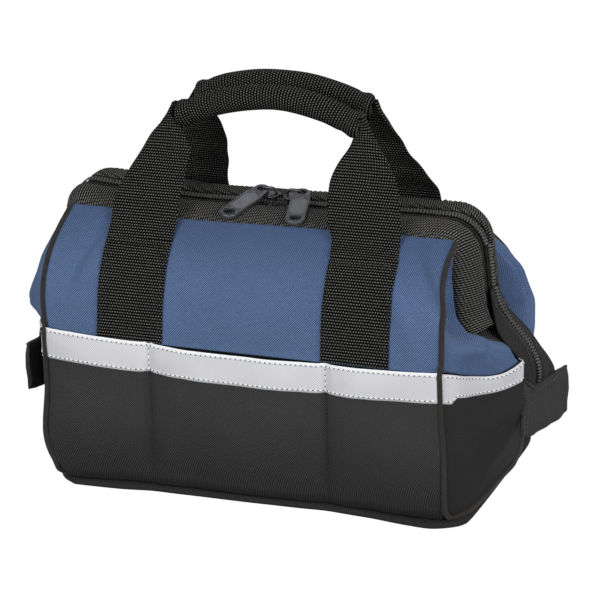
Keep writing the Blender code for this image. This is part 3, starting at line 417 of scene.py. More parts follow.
def clothPiece(name, rows, finish, thickness, outward):
    # rows of places; each row runs along the cloth, rows follow each other across it
    count = len(rows[0])
    alongs = [pathLengths(row) for row in rows]
    acrosses = [0.0]
    for a, b in zip(rows, rows[1:]):
        acrosses.append(acrosses[-1] + sum((q - p).length for p, q in zip(a, b)) / count)
    vertices = [spot for row in rows for spot in row]
    faces, uvs = [], []
    for j in range(len(rows) - 1):
        for i in range(count - 1):
            corners = ((j, i), (j, i + 1), (j + 1, i + 1), (j + 1, i))
            faces.append([row * count + at for row, at in corners])
            uvs.append([(alongs[row][at], acrosses[row]) for row, at in corners])
    lean = sum(((vertices[c] - vertices[a]).cross(vertices[d] - vertices[b]) for a, b, c, d in faces),
               Vector())
    if lean.dot(Vector(outward)) < 0:
        faces, uvs = ([face[::-1] for face in each] for each in (faces, uvs))
    piece = meshPiece(name, vertices, faces, uvs, finish)
    solid = piece.modifiers.new("solid", "SOLIDIFY")
    solid.thickness, solid.offset, solid.use_even_offset = thickness, -1, True
    mesh = finalMesh(piece)
    piece.modifiers.clear()
    piece.data = mesh
    return piece


def addRun(vertices, faces, rings):
    # a run of closed rings, with a cap at each end
    base, count = len(vertices), len(rings[0])
    vertices += [spot for ring in rings for spot in ring]
    for j in range(len(rings) - 1):
        a, b = base + j * count, base + (j + 1) * count
        for i in range(count):
            k = (i + 1) % count
            faces.append((a + i, a + k, b + k, b + i))
    faces.append(tuple(range(base, base + count))[::-1])
    faces.append(tuple(range(len(vertices) - count, len(vertices))))


def roundRing(centre, first, second, firstSize, secondSize, sides):
    return [centre + first * (firstSize * math.cos(a)) + second * (secondSize * math.sin(a))
            for a in (2 * math.pi * k / sides for k in range(sides))]


def sweep(name, rings, finish):
    # closed rings of places, one after another along the piece; cloth runs with the sweep
    count = len(rings[0])
    alongs = pathLengths([sum(ring, Vector()) / count for ring in rings])
    rounds = [pathLengths(ring + [ring[0]]) for ring in rings]
    vertices, faces = [], []
    addRun(vertices, faces, rings)
    uvs = [[(alongs[j + up], rounds[j][i + on]) for up, on in ((0, 0), (0, 1), (1, 1), (1, 0))]
           for j in range(len(rings) - 1) for i in range(count)]
    uvs += [[(0.0, 0.0)] * count] * 2
    piece = meshPiece(name, vertices, faces, uvs, finish)
    recalc(piece)
    return piece


def tube(name, points, radius, finish, sides=12, up=Vector((0, 0, 1))):
    rings, last = [], len(points) - 1
    for i, point in enumerate(points):
        ahead = (points[min(i + 1, last)] - points[max(i - 1, 0)]).normalized()
        lift = (up - ahead * up.dot(ahead)).normalized()
        size = radius(i / last) if callable(radius) else radius
        rings.append(roundRing(point, lift, ahead.cross(lift), size, size, sides))
    return sweep(name, rings, finish)


# a stitch: share of its length, rise and size of the thread there
stitchLook = {"arch": ((0.0, -0.8, 0.5), (0.18, 0.25, 0.95), (0.5, 0.55, 1.0), (0.82, 0.25, 0.95),
                       (1.0, -0.8, 0.5)),
              "sides": 6, "flat": 0.8, "reach": 0.0004}
# of each seam: a stitch's length, the gap after it, and half the thread's thickness
stitchSize = {"pocket": (0.0025, 0.0010, 0.0004), "binding": (0.0026, 0.0012, 0.00034),
              "zip": (0.0012, 0.00035, 0.00030), "tail": (0.0012, 0.0004, 0.0003),
              "tab": (0.0026, 0.0011, 0.00036), "strap": (0.0026, 0.0011, 0.0004)}


def stitchRow(name, points, up, finish, length, gap, width, shift=0.0):
    # small arched threads that dip into the cloth at both ends
    lengths = pathLengths(points)
    count = max(1, int(lengths[-1] / (length + gap)))
    vertices, faces = [], []
    for n in range(count):
        start = (n + 0.5 + shift) * lengths[-1] / count - length / 2
        if start + length > lengths[-1]:
            break
        rings = []
        for share, rise, size in stitchLook["arch"]:
            distance = start + share * length
            ahead = wayAlong(points, lengths, distance, stitchLook["reach"])
            normal = up(start / lengths[-1]) if callable(up) else up
            normal = (normal - ahead * normal.dot(ahead)).normalized()
            middle = alongPath(points, lengths, distance) + normal * (rise * width)
            rings.append(roundRing(middle, normal, ahead.cross(normal),
                                   width * size * stitchLook["flat"], width * size, stitchLook["sides"]))
        addRun(vertices, faces, rings)
    return meshPiece(name, vertices, faces, [], finish)


def joined(name, pieces):
    # several meshes of one finish as one piece
    mesh = bmesh.new()
    made = bpy.data.meshes.new(name)
    made.materials.append(pieces[0].data.materials[0])
    for piece in pieces:
        mesh.from_mesh(piece.data)
        bpy.data.objects.remove(piece)
    mesh.to_mesh(made)
    mesh.free()
    return newPiece(name, made)


def seat(piece, body, slot, *nodes):
    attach(piece, body)
    if nodes:
        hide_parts(*nodes)


def refinish(node, finish):
    # a solid of the frame that shows as it is
    materials = frame["nodes"][node].data.materials
    materials.clear()
    materials.append(finishes[finish])


# Camera at the photo's angle; its frame is 600 by 600
camera = {"azimuth": 20.455, "elevation": 19.69, "roll": -1.2, "distance": 2.5,
          "target": (0.01224, 0.0, 0.12266), "focalPixels": 3431.2, "sensor": 36.0,
          "framePixels": 600}


def makeCamera():
    data = bpy.data.cameras.new("photoCamera")
    data.sensor_width = camera["sensor"]
    data.lens = camera["focalPixels"] * camera["sensor"] / camera["framePixels"]
    data.clip_end = 20.0
    seen = newPiece("photoCamera", data)
    azimuth, elevation = math.radians(camera["azimuth"]), math.radians(camera["elevation"])
    back = Vector((math.sin(azimuth) * math.cos(elevation),
                   -math.cos(azimuth) * math.cos(elevation), math.sin(elevation)))
    seen.location = Vector(camera["target"]) + back * camera["distance"]
    seen.rotation_mode = "QUATERNION"
    seen.rotation_quaternion = ((-back).to_track_quat("-Z", "Y")
                                @ Quaternion((0, 0, 1), math.radians(camera["roll"])))
    bpy.context.scene.camera = seen


# lamps: place, size and power
studio = {"world": 0.38, "white": 1.03, "floorTone": 0.12, "floorSize": 6.0, "floorSeen": 0.985,
          "aim": (0, 0, 0.12),
          "lamps": {"keyLamp": ((-0.9, -2.7, 1.15), 1.5, 46.0), "fillLamp": ((2.4, -1.2, 1.2), 1.8, 44.0),
                    "rimLamp": ((0.6, 1.6, 2.3), 1.4, 12.0)}}


def seenDirectly(tree):
    # the paths of light, and 1 where the camera sees, also through something clear
    path = Wire(tree).node("LightPath")
    return path, path.output("Is Camera Ray") + path.output("Is Transmission Ray")


def showWhite(tree, seen, lit, white, kind):
    both = seen.node("MixShader", None, {0: seen, 1: lit, 2: white})
    tree.links.new(both.socket, tree.nodes.new("ShaderNodeOutput" + kind).inputs["Surface"])


def makeStudio():
    scene = bpy.context.scene
    scene.view_settings.view_transform = "Standard"
    world = bpy.data.worlds.new("studioWorld")
    scene.world = world
    world.use_nodes = True
    tree = world.node_tree
    tree.nodes.clear()
    path, seen = seenDirectly(tree)
    light, white = (path.node("Background", None, {"Color": (1, 1, 1, 1), "Strength": studio[key]})
                    for key in ("world", "white"))
    showWhite(tree, seen, light, white, "World")
    for name, (spot, size, power) in studio["lamps"].items():
        data = bpy.data.lights.new(name, "AREA")
        data.shape, data.size, data.energy = "DISK", size, power
        lamp = newPiece(name, data)
        lamp.location = spot
        lamp.rotation_euler = (Vector(studio["aim"]) - lamp.location).to_track_quat("-Z", "Y").to_euler()


def makeFloor():
    half = studio["floorSize"] / 2
    mesh = bpy.data.meshes.new("floor")
    mesh.from_pydata([(-half, -half, 0), (half, -half, 0), (half, half, 0), (-half, half, 0)], [],
                     [(0, 1, 2, 3)])
    material = bpy.data.materials.new("paleFloor")
    material.use_nodes = True
    tree = material.node_tree
    tree.nodes.clear()
    path, seen = seenDirectly(tree)
    matte = path.node("BsdfDiffuse", None, {"Color": (studio["floorTone"],) * 3 + (1,)})
    white = path.node("Emission", None, {"Color": (1, 1, 1, 1), "Strength": studio["white"]})
    showWhite(tree, (seen + path.output("Is Glossy Ray")) * studio["floorSeen"], matte, white, "Material")
    mesh.materials.append(material)
    newPiece("floor", mesh)


makeCamera()
makeStudio()
makeFloor()
print("stage: camera and studio")


# The lower body: pockets in front and behind, ends drawn out by the tabs

lower = {"base": 0.0900, "swell": 0.0062, "bow": 0.0016, "rimMean": 0.1152, "rimSag": 0.0044,
         "rimMiddle": 0.020, "rimHalf": 0.150, "seamHalf": 0.0014, "rollUnder": 0.0030,
         "rollHeight": 0.008, "splay": 0.0065, "foot": 0.0030, "waist": 0.0038, "cloth": 0.0014,
         "tapeHeight": 0.0225, "tapeLift": 0.0006, "tapeCloth": 0.0007, "stitchInset": 0.0019,
         "seamDip": 0.0016, "seamWidth": 0.0035, "crease": 0.0013, "lumps": (0.045, 0.0024, 1.0),
         "wrinkles": (0.018, 0.0008, 5.0)}
dividers = {front: (-0.0706, 0.0634), rear: (-0.0670, 0.0670)}
# how far each lower corner is tucked in, and from which height down
tucks = {(left, front): (0.0215, 0.044), (right, front): (0.0010, 0.012),
         (left, rear): (0.0100, 0.030), (right, rear): (0.0080, 0.030)}
# fold, ripple and hollow: depth, distance from the middle and width; lumps: size, depth and seed
ends = {"bottomBulge": 0.0142, "bulgeHeight": 0.066, "flat": 0.020, "past": 0.003,
        "topBulge": {left: 0.0310, right: 0.0370},
        "across": (0.0, 0.265, 0.40, 0.56, 0.74, 0.885, 1.0),
        "top": (0.1040, 0.1042, 0.1008, 0.0998, 0.1052, 0.1128),
        "strip": (0.0170, 0.0160, 0.0140, 0.0135, 0.0158, 0.0180),
        "stripStep": 0.0762, "stripStepWidth": 0.0032, "underTail": 0.075,
        "fold": (0.0030, 0.058, 0.012), "ripple": (0.0012, 0.036, 0.020),
        "hollow": {(right, rear): (0.0130, 0.044, 0.024)}, "lumps": (0.032, 0.0022, 3.0),
        "pinch": {(right, front): 0.0052, (left, front): 0.0014, (right, rear): 0.0020,
                  (left, rear): 0.0010}}
tail = {"halves": (0.0105, 0.0112, 0.0190, 0.0215, 0.0205, 0.0195, 0.0190), "thickness": 0.0014,
        "skew": {left: -0.20, right: 0.35}, "leanFrom": 0.112, "leanOver": 0.030, "clear": 0.0032,
        "blend": (-0.024, 0.012),
        "places": {right: ((0.1608, 0.1480), (0.1640, 0.1365), (0.1695, 0.1275), (0.1755, 0.1200),
                           (0.1815, 0.1135), (0.1866, 0.1067), (0.1918, 0.0959), (0.1938, 0.0860),
                           (0.1932, 0.0780)),
                   left: ((0.1608, 0.1480), (0.1630, 0.1365), (0.1675, 0.1275), (0.1720, 0.1200),
                          (0.1765, 0.1135), (0.1800, 0.1067), (0.1840, 0.0959), (0.1860, 0.0860),
                          (0.1862, 0.0780))}}
tailLine = {end: smoothPath([Vector((x, 0, z)) for x, z in tail["places"][end]], 60)
            for end in (left, right)}


tailLengths = {end: pathLengths(tailLine[end]) for end in (left, right)}


def tailLean(end, y, z):
    # the band leans forward or back as it enters the tab
    return tail["skew"][end] * y * ease((tail["leanFrom"] - z) / tail["leanOver"])


def tailPlace(end, share, y):
    spot = alongPath(tailLine[end], tailLengths[end], share * tailLengths[end][-1])
    return Vector((end * (spot.x + tailLean(end, y, spot.z)), y, spot.z))


def tailReach(end, y, z):
    # how far out the tail lies at a height
    line = tailLine[end]
    if z >= line[0].z:
        return line[0].x
    for a, b in zip(line, line[1:]):
        if b.z <= z <= a.z:
            return mix(a.x, b.x, (a.z - z) / (a.z - b.z)) + tailLean(end, y, z)
    return line[-1].x + tailLean(end, y, z)


def rim(x, side):
    # height of a pocket's mouth
    share = clamp(abs(x + side * lower["rimMiddle"]) / lower["rimHalf"])
    return lower["rimMean"] - lower["rimSag"] * (1 - share * share)


def cornerTuck(end, side, z):
    reach, height = tucks[(end, side)]
    share = clamp((height - z) / (height - floorTop))
    return reach * share ** 2.1 + ends["pinch"][(end, side)] * ease(z / 0.085)


def endBulge(end, y, z):
    reach = halfDepth + ends["past"]
    low = ends["bottomBulge"] * (1 - min(abs(y) / reach, 1.0) ** 8)
    slope = (reach - abs(y)) / (reach - ends["flat"])
    high = ends["topBulge"][end] * curve(slope, ends["across"])
    return mix(low, high, clamp(z / ends["bulgeHeight"]) ** 1.3)


def endTop(y):
    return curve(abs(y) / halfDepth, ends["top"])


def endPlace(end, y, z, out=0.0):
    side = front if y < 0 else rear
    tuck = cornerTuck(end, side, z) * ease((abs(y) - halfDepth * 0.45) / (halfDepth * 0.55))
    # a soft fold runs down beside the corner, another beside the tab
    depth, middle, width = ends["fold"]
    fold = depth * bump(abs(y) - 0.0035 * math.sin(z * 60), middle, width) * ease((z - 0.035) / 0.05)
    depth, middle, width = ends["ripple"]
    ripple = depth * math.sin(z * 170 + abs(y) * 70) * bump(abs(y), middle, width) * ease(z / 0.05)
    depth, middle, width = ends["hollow"].get((end, side), (0.0, 0.0, 1.0))
    hollow = depth * bump(abs(y), middle, width) * ease(z / 0.06)
    x = halfLength + endBulge(end, y, z) - tuck - fold + ripple - hollow
    x += lumps((y, z, end), *ends["lumps"]) * ease((halfDepth - abs(y)) / 0.02)
    if z > ends["underTail"]:
        # behind the tail the end lies inside it
        x = min(x, tailReach(end, y, z) - tail["clear"] + 0.06 * ease((abs(y) - 0.019) / 0.020))
    top = rim(end * halfLength, side)
    edge = abs(pocketPlace(side, end * halfLength, (z - floorTop) / (top - floorTop)).y)
    stretch = (edge - halfDepth - 0.0010) * ease((abs(y) - 0.058) / 0.027)
    return Vector((end * (x + out), y + side * stretch, z))


def lobe(x, side):
    # 0 at a seam, 1 in the middle of a pocket
    seams = (-halfLength, *dividers[side], halfLength)
    for first, last in zip(seams, seams[1:]):
        if first <= x <= last:
            share = clamp((x - first - lower["seamHalf"]) / (last - first - 2 * lower["seamHalf"]))
            return math.sin(math.pi * share) ** 0.55 if 0 < share < 1 else 0.0
    return 0.0


def pocketPlace(side, x, height, out=0.0):
    # height from 0 at the base to 1 at the mouth of the pocket
    z = mix(floorTop, rim(x, side), height)
    fullness = 0.50 + 0.50 * math.sin(math.pi * clamp(height) ** 0.85)
    y = lower["base"] + lower["swell"] * lobe(x, side) * fullness - lower["waist"] * ease(height * 1.2)
    y += lower["bow"] * (1 - (x / halfLength) ** 2) * ease(height * 1.3) + 0.0030 * ease(height)
    y += lower["splay"] * abs(x / halfLength) ** 3 * (1 - ease(height * 1.9))
    if side == front:
        y += lower["foot"] * clamp(0.45 - x / 0.22) * (1 - ease(height * 1.7))
    y -= lower["rollUnder"] * (1 - ease((z - floorTop) / lower["rollHeight"]))
    for seam in dividers[side]:
        # the seam draws the cloth in, with a crease that fades out above and below it
        y -= lower["seamDip"] * bump(x, seam, lower["seamWidth"]) * ease(height * 4)
        beside = bump(x - seam, 0.012 + 0.010 * height, 0.006)
        y += lower["crease"] * beside * math.sin(math.pi * clamp(height))
    y += lumps((x, side * 0.3, z), *lower["lumps"]) + lumps((x, side * 0.5, z), *lower["wrinkles"])
    return Vector((x, side * (y + out), z))


def pocketEnds(side, height):
    z = mix(floorTop, pocketTop, height)
    return -halfLength + cornerTuck(left, side, z), halfLength - cornerTuck(right, side, z)


tapeStitch = {"length": 0.0027, "gap": 0.0010, "width": 0.00046, "hole": 0.0007}


def tapeStitches(name, paths, outward):
    # pale thread, and between each two stitches a dark dot where the needle hole is; its dark is painted shade
    # in the hole
    look = tapeStitch
    step = look["length"] + look["gap"]
    threads = [stitchRow("t" + str(n), path, outward, "whiteThread", look["length"], look["gap"],
                         look["width"]) for n, path in enumerate(paths)]
    # painted shade: dark thread dots stand for the shade in the needle holes
    shadedHoles = [stitchRow("h" + str(n), path, outward, "darkThread", look["hole"], step - look["hole"],
                       look["width"] * 0.95, 0.5) for n, path in enumerate(paths)]
    seat(joined(name + "Stitches", threads), "base", "reflective_tape")
    seat(joined(name + "NeedleHoleShade", shadedHoles), "base", "reflective_tape")


def makePockets(side):
    word = sideWord[side]
    outward = Vector((0, side, 0))

    def line(height, out, count, low=0.0, high=1.0):
        first, last = pocketEnds(side, height)
        return [pocketPlace(side, mix(first, last, mix(low, high, u)), height, out)
                for u in shares(count)]

    panel = clothPiece(word + "PocketPanel", [line(v, 0.0, 181) for v in shares(56)], "black",
                       lower["cloth"], outward)
    seat(panel, "base", "black_polyester", word + "_pocket_panel")

    span = lower["tapeHeight"] / (lower["rimMean"] - floorTop)
    tapeRows = [line(mix(1 - span, 1.004, v), lower["tapeLift"] + 0.0004 * math.sin(math.pi * v), 181)
                for v in shares(9)]
    strip = clothPiece(word + "ReflectiveStrip", tapeRows, "tape", lower["tapeCloth"], outward)
    seat(strip, "base", "reflective_tape", word + "_reflective_strip")

    inset = lower["stitchInset"] / lower["tapeHeight"] * span
    paths = [line(height, lower["tapeLift"] + 0.0003, 240, 0.004, 0.996)
             for height in (1 - inset, 1 - span + inset)]
    paths += [[pocketPlace(side, x, mix(1 - span, 1, v), lower["tapeLift"] + 0.0004)
               for v in shares(20)] for x in dividers[side]]
    tapeStitches(word + "Strip", paths, outward)
    seams = []
    for n, x in enumerate(dividers[side]):
        points = [pocketPlace(side, x, mix(0.03, 1 - span - 0.01, v), 0.0002) for v in shares(40)]
        seams.append(stitchRow("seam" + str(n), points, outward, "darkThread", *stitchSize["pocket"]))
    seat(joined(word + "PocketSeamStitches", seams), "base", "black_polyester")

    wallRows = []
    for v in shares(14):
        z = mix(floorTop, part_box(word + "_lower_panel")[1].z - 0.0006, v)
        first, last = pocketEnds(side, v)
        wallRows.append([Vector((mix(first + 0.001, last - 0.001, u),
                                 side * (halfDepth - 0.0002 + lumps((u, v, side), 0.3, 0.0006)), z))
                         for u in shares(50)])
    wallSheet = clothPiece(word + "InnerWall", wallRows, "lining", lower["cloth"], outward)
    seat(wallSheet, "base", "black_polyester", word + "_lower_panel")


def makeEnd(end):
    word = endWord[end]
    inner = halfDepth + 0.0006
    grid = [[endPlace(end, mix(-inner, inner, u), mix(floorTop, endTop(mix(-inner, inner, u)), v))
             for u in shares(90)] for v in shares(60)]
    panel = clothPiece(word + "EndPanel", grid, "end", lower["cloth"], (end, 0, 0))
    seat(panel, "base", "black_polyester", word + "_end_panel")

    def stripHeight(y):
        # the fold beside the corner takes up some of the tape
        full = ease((abs(y) - ends["stripStep"]) / ends["stripStepWidth"])
        return mix(curve(abs(y) / halfDepth, ends["strip"]), lower["tapeHeight"], full)

    breadth = [mix(-inner, inner, u) for u in shares(120)]
    rows = [[endPlace(end, y, endTop(y) - stripHeight(y) * (1 - v),
                      lower["tapeLift"] + 0.0004 * math.sin(math.pi * v)) for y in breadth]
            for v in shares(9)]
    strip = clothPiece(word + "EndStrip", rows, "tape", lower["tapeCloth"], (end, 0, 0))
    seat(strip, "base", "reflective_tape", word + "_end_strip")
    inset = lower["stitchInset"]
    breadth = [mix(-inner, inner, u) * 0.985 for u in shares(160)]
    paths = [[endPlace(end, y, endTop(y) - inset, 0.0010) for y in breadth],
             [endPlace(end, y, endTop(y) - stripHeight(y) + inset, 0.0010) for y in breadth]]
    tapeStitches(word + "EndStrip", paths, Vector((end, 0, 0)))
    makePiping(end)


cord = {"radius": 0.0020, "round": 0.009}


def makePiping(end):
    # down the front corner, along the foot of the end and up the rear corner
    low = floorTop + cord["radius"] * 0.8
    route = []
    for side in (front, rear):
        half = []
        for v in shares(40):
            z = mix(rim(end * halfLength, side) + 0.0040, low + cord["round"], v)
            height = (z - floorTop) / (rim(end * halfLength, side) - floorTop)
            edge = pocketPlace(side, end * halfLength, height)
            x = halfLength + 0.0014 - cornerTuck(end, side, z)
            lean = 0.0050 * clamp((height - 0.985) / 0.05) ** 2
            half.append(Vector((end * x, edge.y + side * (0.0004 - lean), z)))
        corner = half[-1]
        for k in range(1, 8):
            angle = math.pi / 2 * k / 8
            z = low + cord["round"] * (1 - math.sin(angle))
            y = abs(corner.y) - cord["round"] * (1 - math.cos(angle))
            spot = endPlace(end, side * min(y - 0.006, halfDepth), z, 0.0004)
            x = mix(corner.x, spot.x, ease(k / 8))
            half.append(Vector((x, side * y, z)))
        route.append(half)
    span = abs(route[0][-1].y) - 0.008
    foot = [endPlace(end, mix(-1, 1, k / 40) * span, low, 0.0004) for k in range(1, 40)]
    points = smoothPath((route[0] + foot + route[1][::-1])[::2], 190)
    piece = tube(endWord[end] + "Piping", points, cord["radius"], "piping", 12, Vector((end, 0, 0)))
    seat(piece, "base", "piping", endWord[end] + "_piping")


bottom = {"height": 0.0042, "straight": 0.1285, "flatRing": 0.030,
          "edge": {front: (0.1012, 0.1000, 0.0968, 0.0958, 0.0956, 0.0946, 0.0941, 0.0960, 0.1006),
                   rear: (0.0970, 0.0950, 0.0938, 0.0932, 0.0930, 0.0932, 0.0938, 0.0950, 0.0970)},
          "right": ((0.1285, -0.1006), (0.1436, -0.1012), (0.1560, -0.0958), (0.1640, -0.0880),
                    (0.1664, -0.0760), (0.1669, -0.0331), (0.1665, 0.0177), (0.1655, 0.0700),
                    (0.1600, 0.0890), (0.1480, 0.0950), (0.1285, 0.0970)),
          "left": ((-0.1285, 0.0970), (-0.1440, 0.0930), (-0.1560, 0.0840), (-0.1600, 0.0600),
                   (-0.1620, 0.0000), (-0.1600, -0.0540), (-0.1500, -0.0765), (-0.1400, -0.0925),
                   (-0.1285, -0.1012))}


def makeBase():
    # a flat bottom panel whose turned edge shows under the pockets
    outline = []
    for word, side in (("right", rear), ("left", front)):
        outline += smoothPath([Vector((x, y, 0)) for x, y in bottom[word]], 60)
        first = outline[-1].x
        for u in shares(50)[1:-1]:
            x = mix(first, -first, u)
            seam = 0.0010 * sum(bump(x, divider, 0.012) for divider in dividers[side])
            edge = curve(x / (2 * bottom["straight"]) + 0.5, bottom["edge"][side])
            outline.append(Vector((x, side * (edge - seam), 0)))
    rows = []
    height, flatRing = bottom["height"], bottom["flatRing"]
    for lift, inset in ((0.0, flatRing), (0.0, 0.0010), (0.0005, 0.0002), (0.0018, 0.0),
                        (0.0034, 0.0005), (height, 0.0025), (height, flatRing)):
        ring = []
        for spot in outline:
            flatWay = Vector((spot.x, spot.y * 2.2, 0)).normalized()
            ring.append(Vector((spot.x, spot.y, lift)) - flatWay * inset)
        rows.append(ring)
    panel = sweep("basePanel", rows, "black")
    seat(panel, "base", "black_polyester", "base_panel")
    refinish("base_board", "board")


for side in (front, rear):
    makePockets(side)
for end in (left, right):
    makeEnd(end)
makeBase()
print("stage: lower body")


# The mouth: a seam line and a ridge line, both U-shaped, with stations that match

# seam and ridge: radius of the right corner, how much wider the left one is, and its radius
mouth = {"inset": 0.008, "outTop": 0.0120, "outLeg": 0.0100, "legSpread": 0.007, "innerY": 0.0120,
         "outerY": 0.0392, "flare": 0.0045, "flareReach": 0.30, "legStations": 22, "turns": 15,
         "topStations": 36, "seam": (0.022, 0.0085, 0.010), "ridge": (0.027, 0.0025, 0.011),
         "sagHalf": 0.156,
         "sag": (0.0024, -0.0008, -0.0034, -0.0026, -0.0016, -0.0006, 0.0004, 0.0)}


def halfLine(halfTop, halfLeg, top, corner):
    # from the foot of a leg, which flares a little, over the corner to the middle of the top
    places = []
    for share in shares(mouth["legStations"]):
        flare = mouth["flare"] * clamp(1 - share / mouth["flareReach"]) ** 2
        places.append((mix(halfLeg, halfTop, share * 0.98) + flare, mix(legEnd, top - corner, share)))
    for k in range(1, mouth["turns"]):
        angle = math.pi / 2 * k / mouth["turns"]
        places.append((halfTop - corner + corner * math.cos(angle),
                       top - corner + corner * math.sin(angle)))
    for share in shares(mouth["topStations"]):
        places.append((mix(halfTop - corner, 0.0, share), top))
    return places


def uLine(halfTop, halfLeg, top, corner, widen, square):
    # the left corner is squarer and stands further out
    leftHalf = halfLine(halfTop + widen, halfLeg, top, square)
    rightHalf = halfLine(halfTop, halfLeg, top, corner)
    whole = [(-x, z) for x, z in leftHalf] + rightHalf[-2::-1]
    return [Vector((x, 0, z + mouthSag(x) * ease((z - top + 0.03) / 0.03))) for x, z in whole]


def mouthSag(x):
    return curve((x + mouth["sagHalf"]) / (2 * mouth["sagHalf"]), mouth["sag"])


seamHalfTop = halfLength - mouth["inset"]
seamLine = uLine(seamHalfTop, seamHalfTop + mouth["legSpread"], seamHeight, *mouth["seam"])
ridgeLine = uLine(seamHalfTop + mouth["outTop"], seamHalfTop + mouth["legSpread"] + mouth["outLeg"],
                  ridgeHeight, *mouth["ridge"])
stations = len(seamLine)


def lineNormal(line, i):
    along = (line[min(i + 1, stations - 1)] - line[max(i - 1, 0)]).normalized()
    return Vector((-along.z, 0, along.x))


def stationNormal(line):
    # for stitches that follow the line: the way out of the cloth at a share of its length
    return lambda share: lineNormal(line, min(int(share * stations), stations - 1))


def mouthPlace(i, y, depth=0.0, side=front):
    # on the roof of the mouth at station i, y from the middle plane, sunk by a depth
    share = min((seamY - y) / (seamY - mouth["innerY"]), 1.0)
    skin = seamLine[i].lerp(ridgeLine[i], share)
    normal = (lineNormal(seamLine, i) + lineNormal(ridgeLine, i)).normalized()
    return Vector((skin.x, side * y, skin.z)) - normal * depth


binding = {"puff": 0.0020, "height": 0.0080, "round": 0.0024, "lumps": (0.03, 0.0008),
           "turns": (0.35, 0.7, 1.0), "sewnIn": 0.0022, "sewnLift": 0.0006}


def bindingRing(i, side):
    # a webbing sleeve: convex on top over the rod, rounded at its edges
    near, far, turn, foot = mouth["innerY"], mouth["outerY"], binding["round"], binding["height"]

    def rounded(edge, inward, turns):
        angles = [share * math.pi / 2 for share in turns]
        return [(edge + inward * turn * (1 - math.sin(angle)), turn * (1 - math.cos(angle)))
                for angle in angles]

    sag = lumps(seamLine[i], *binding["lumps"], side * 2.0)
    spots = [(mix(near + turn, far - turn, share), -(binding["puff"] * math.sin(math.pi * share) + sag))
             for share in shares(11)]
    spots += rounded(far, -1, binding["turns"])
    spots += [(far, foot - turn), (far - turn, foot), (near + turn, foot), (near, foot - turn)]
    spots += rounded(near, 1, binding["turns"][::-1])
    return [mouthPlace(i, y, depth, side) for y, depth in spots]


# a tooth: place across the half, size and rise of the loop there. under: how far the tape runs
# into the binding. level: a spot no lower than this under the ridge lies on top. sewn: rows of
# stitches on the tape, each with its place from the middle and its depth
zipLook = {"tooth": ((-1.0, 0.30, -0.55), (-0.80, 0.85, 0.0), (-0.3, 0.9, 0.45), (0.35, 0.85, 0.45),
                     (0.85, 0.75, 0.15), (1.0, 0.35, -0.3)),
           "sides": 6, "broad": 1.05, "tapeDepth": 0.0033, "under": 0.002, "level": 0.004,
           "tapeRows": (0.0095, 0.0065, 0.0040, 0.0007), "tapeStep": 0.0007, "pushed": 0.3,
           "cordY": 0.0010, "cordDepth": 0.0031, "sewn": ((0.0030, 0.0009), (0.0060, 0.0023)),
           "tapeCloth": 0.0008, "step": 0.0024, "reach": 0.0006,
           "back": 0.0040, "radius": 0.00068, "lift": 0.0012, "cord": 0.00085}
slider = {"centre": abs(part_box("left_slider")[0].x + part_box("left_slider")[1].x) / 2,
          "length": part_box("left_slider")[1].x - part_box("left_slider")[0].x, "push": 0.0020, "clear": 0.008}


def parting(spot):
    # how far a half of the zip is pushed aside round the sliders' posts
    if spot.z <= ridgeHeight - zipLook["level"]:
        return 0.0
    half = slider["length"] / 2
    return slider["push"] * ease((slider["centre"] + half - abs(spot.x)) / half)


def makeTeeth(name, line, side, up=None):
    # nylon coil of one zip half: a loop across the tape for each step along the line
    lengths = pathLengths(line)
    count = int(lengths[-1] / zipLook["step"])
    vertices, faces = [], []
    radius = zipLook["radius"]
    for n in range(count):
        distance = (n + (0.25 if side == front else 0.75)) * zipLook["step"]
        at = alongPath(line, lengths, distance)
        ahead = wayAlong(line, lengths, distance, 0.001)
        aside = Vector((0, side, 0))
        normal = aside.cross(ahead) * side
        if normal.z < 0 and abs(normal.z) > 0.2:
            normal = -normal
        if up is not None and normal.dot(up) < 0:
            normal = -normal
        middle = (zipLook["back"] - zipLook["reach"]) / 2 + parting(at)
        half = (zipLook["back"] + zipLook["reach"]) / 2
        rings = []
        for along, size, rise in zipLook["tooth"]:
            centre = at + aside * (middle + along * half) + normal * (radius * rise - zipLook["lift"])
            rings.append(roundRing(centre, ahead, normal, radius * size * zipLook["broad"],
                                   radius * size, zipLook["sides"]))
        addRun(vertices, faces, rings)
    return meshPiece(name, vertices, faces, [], "coil")


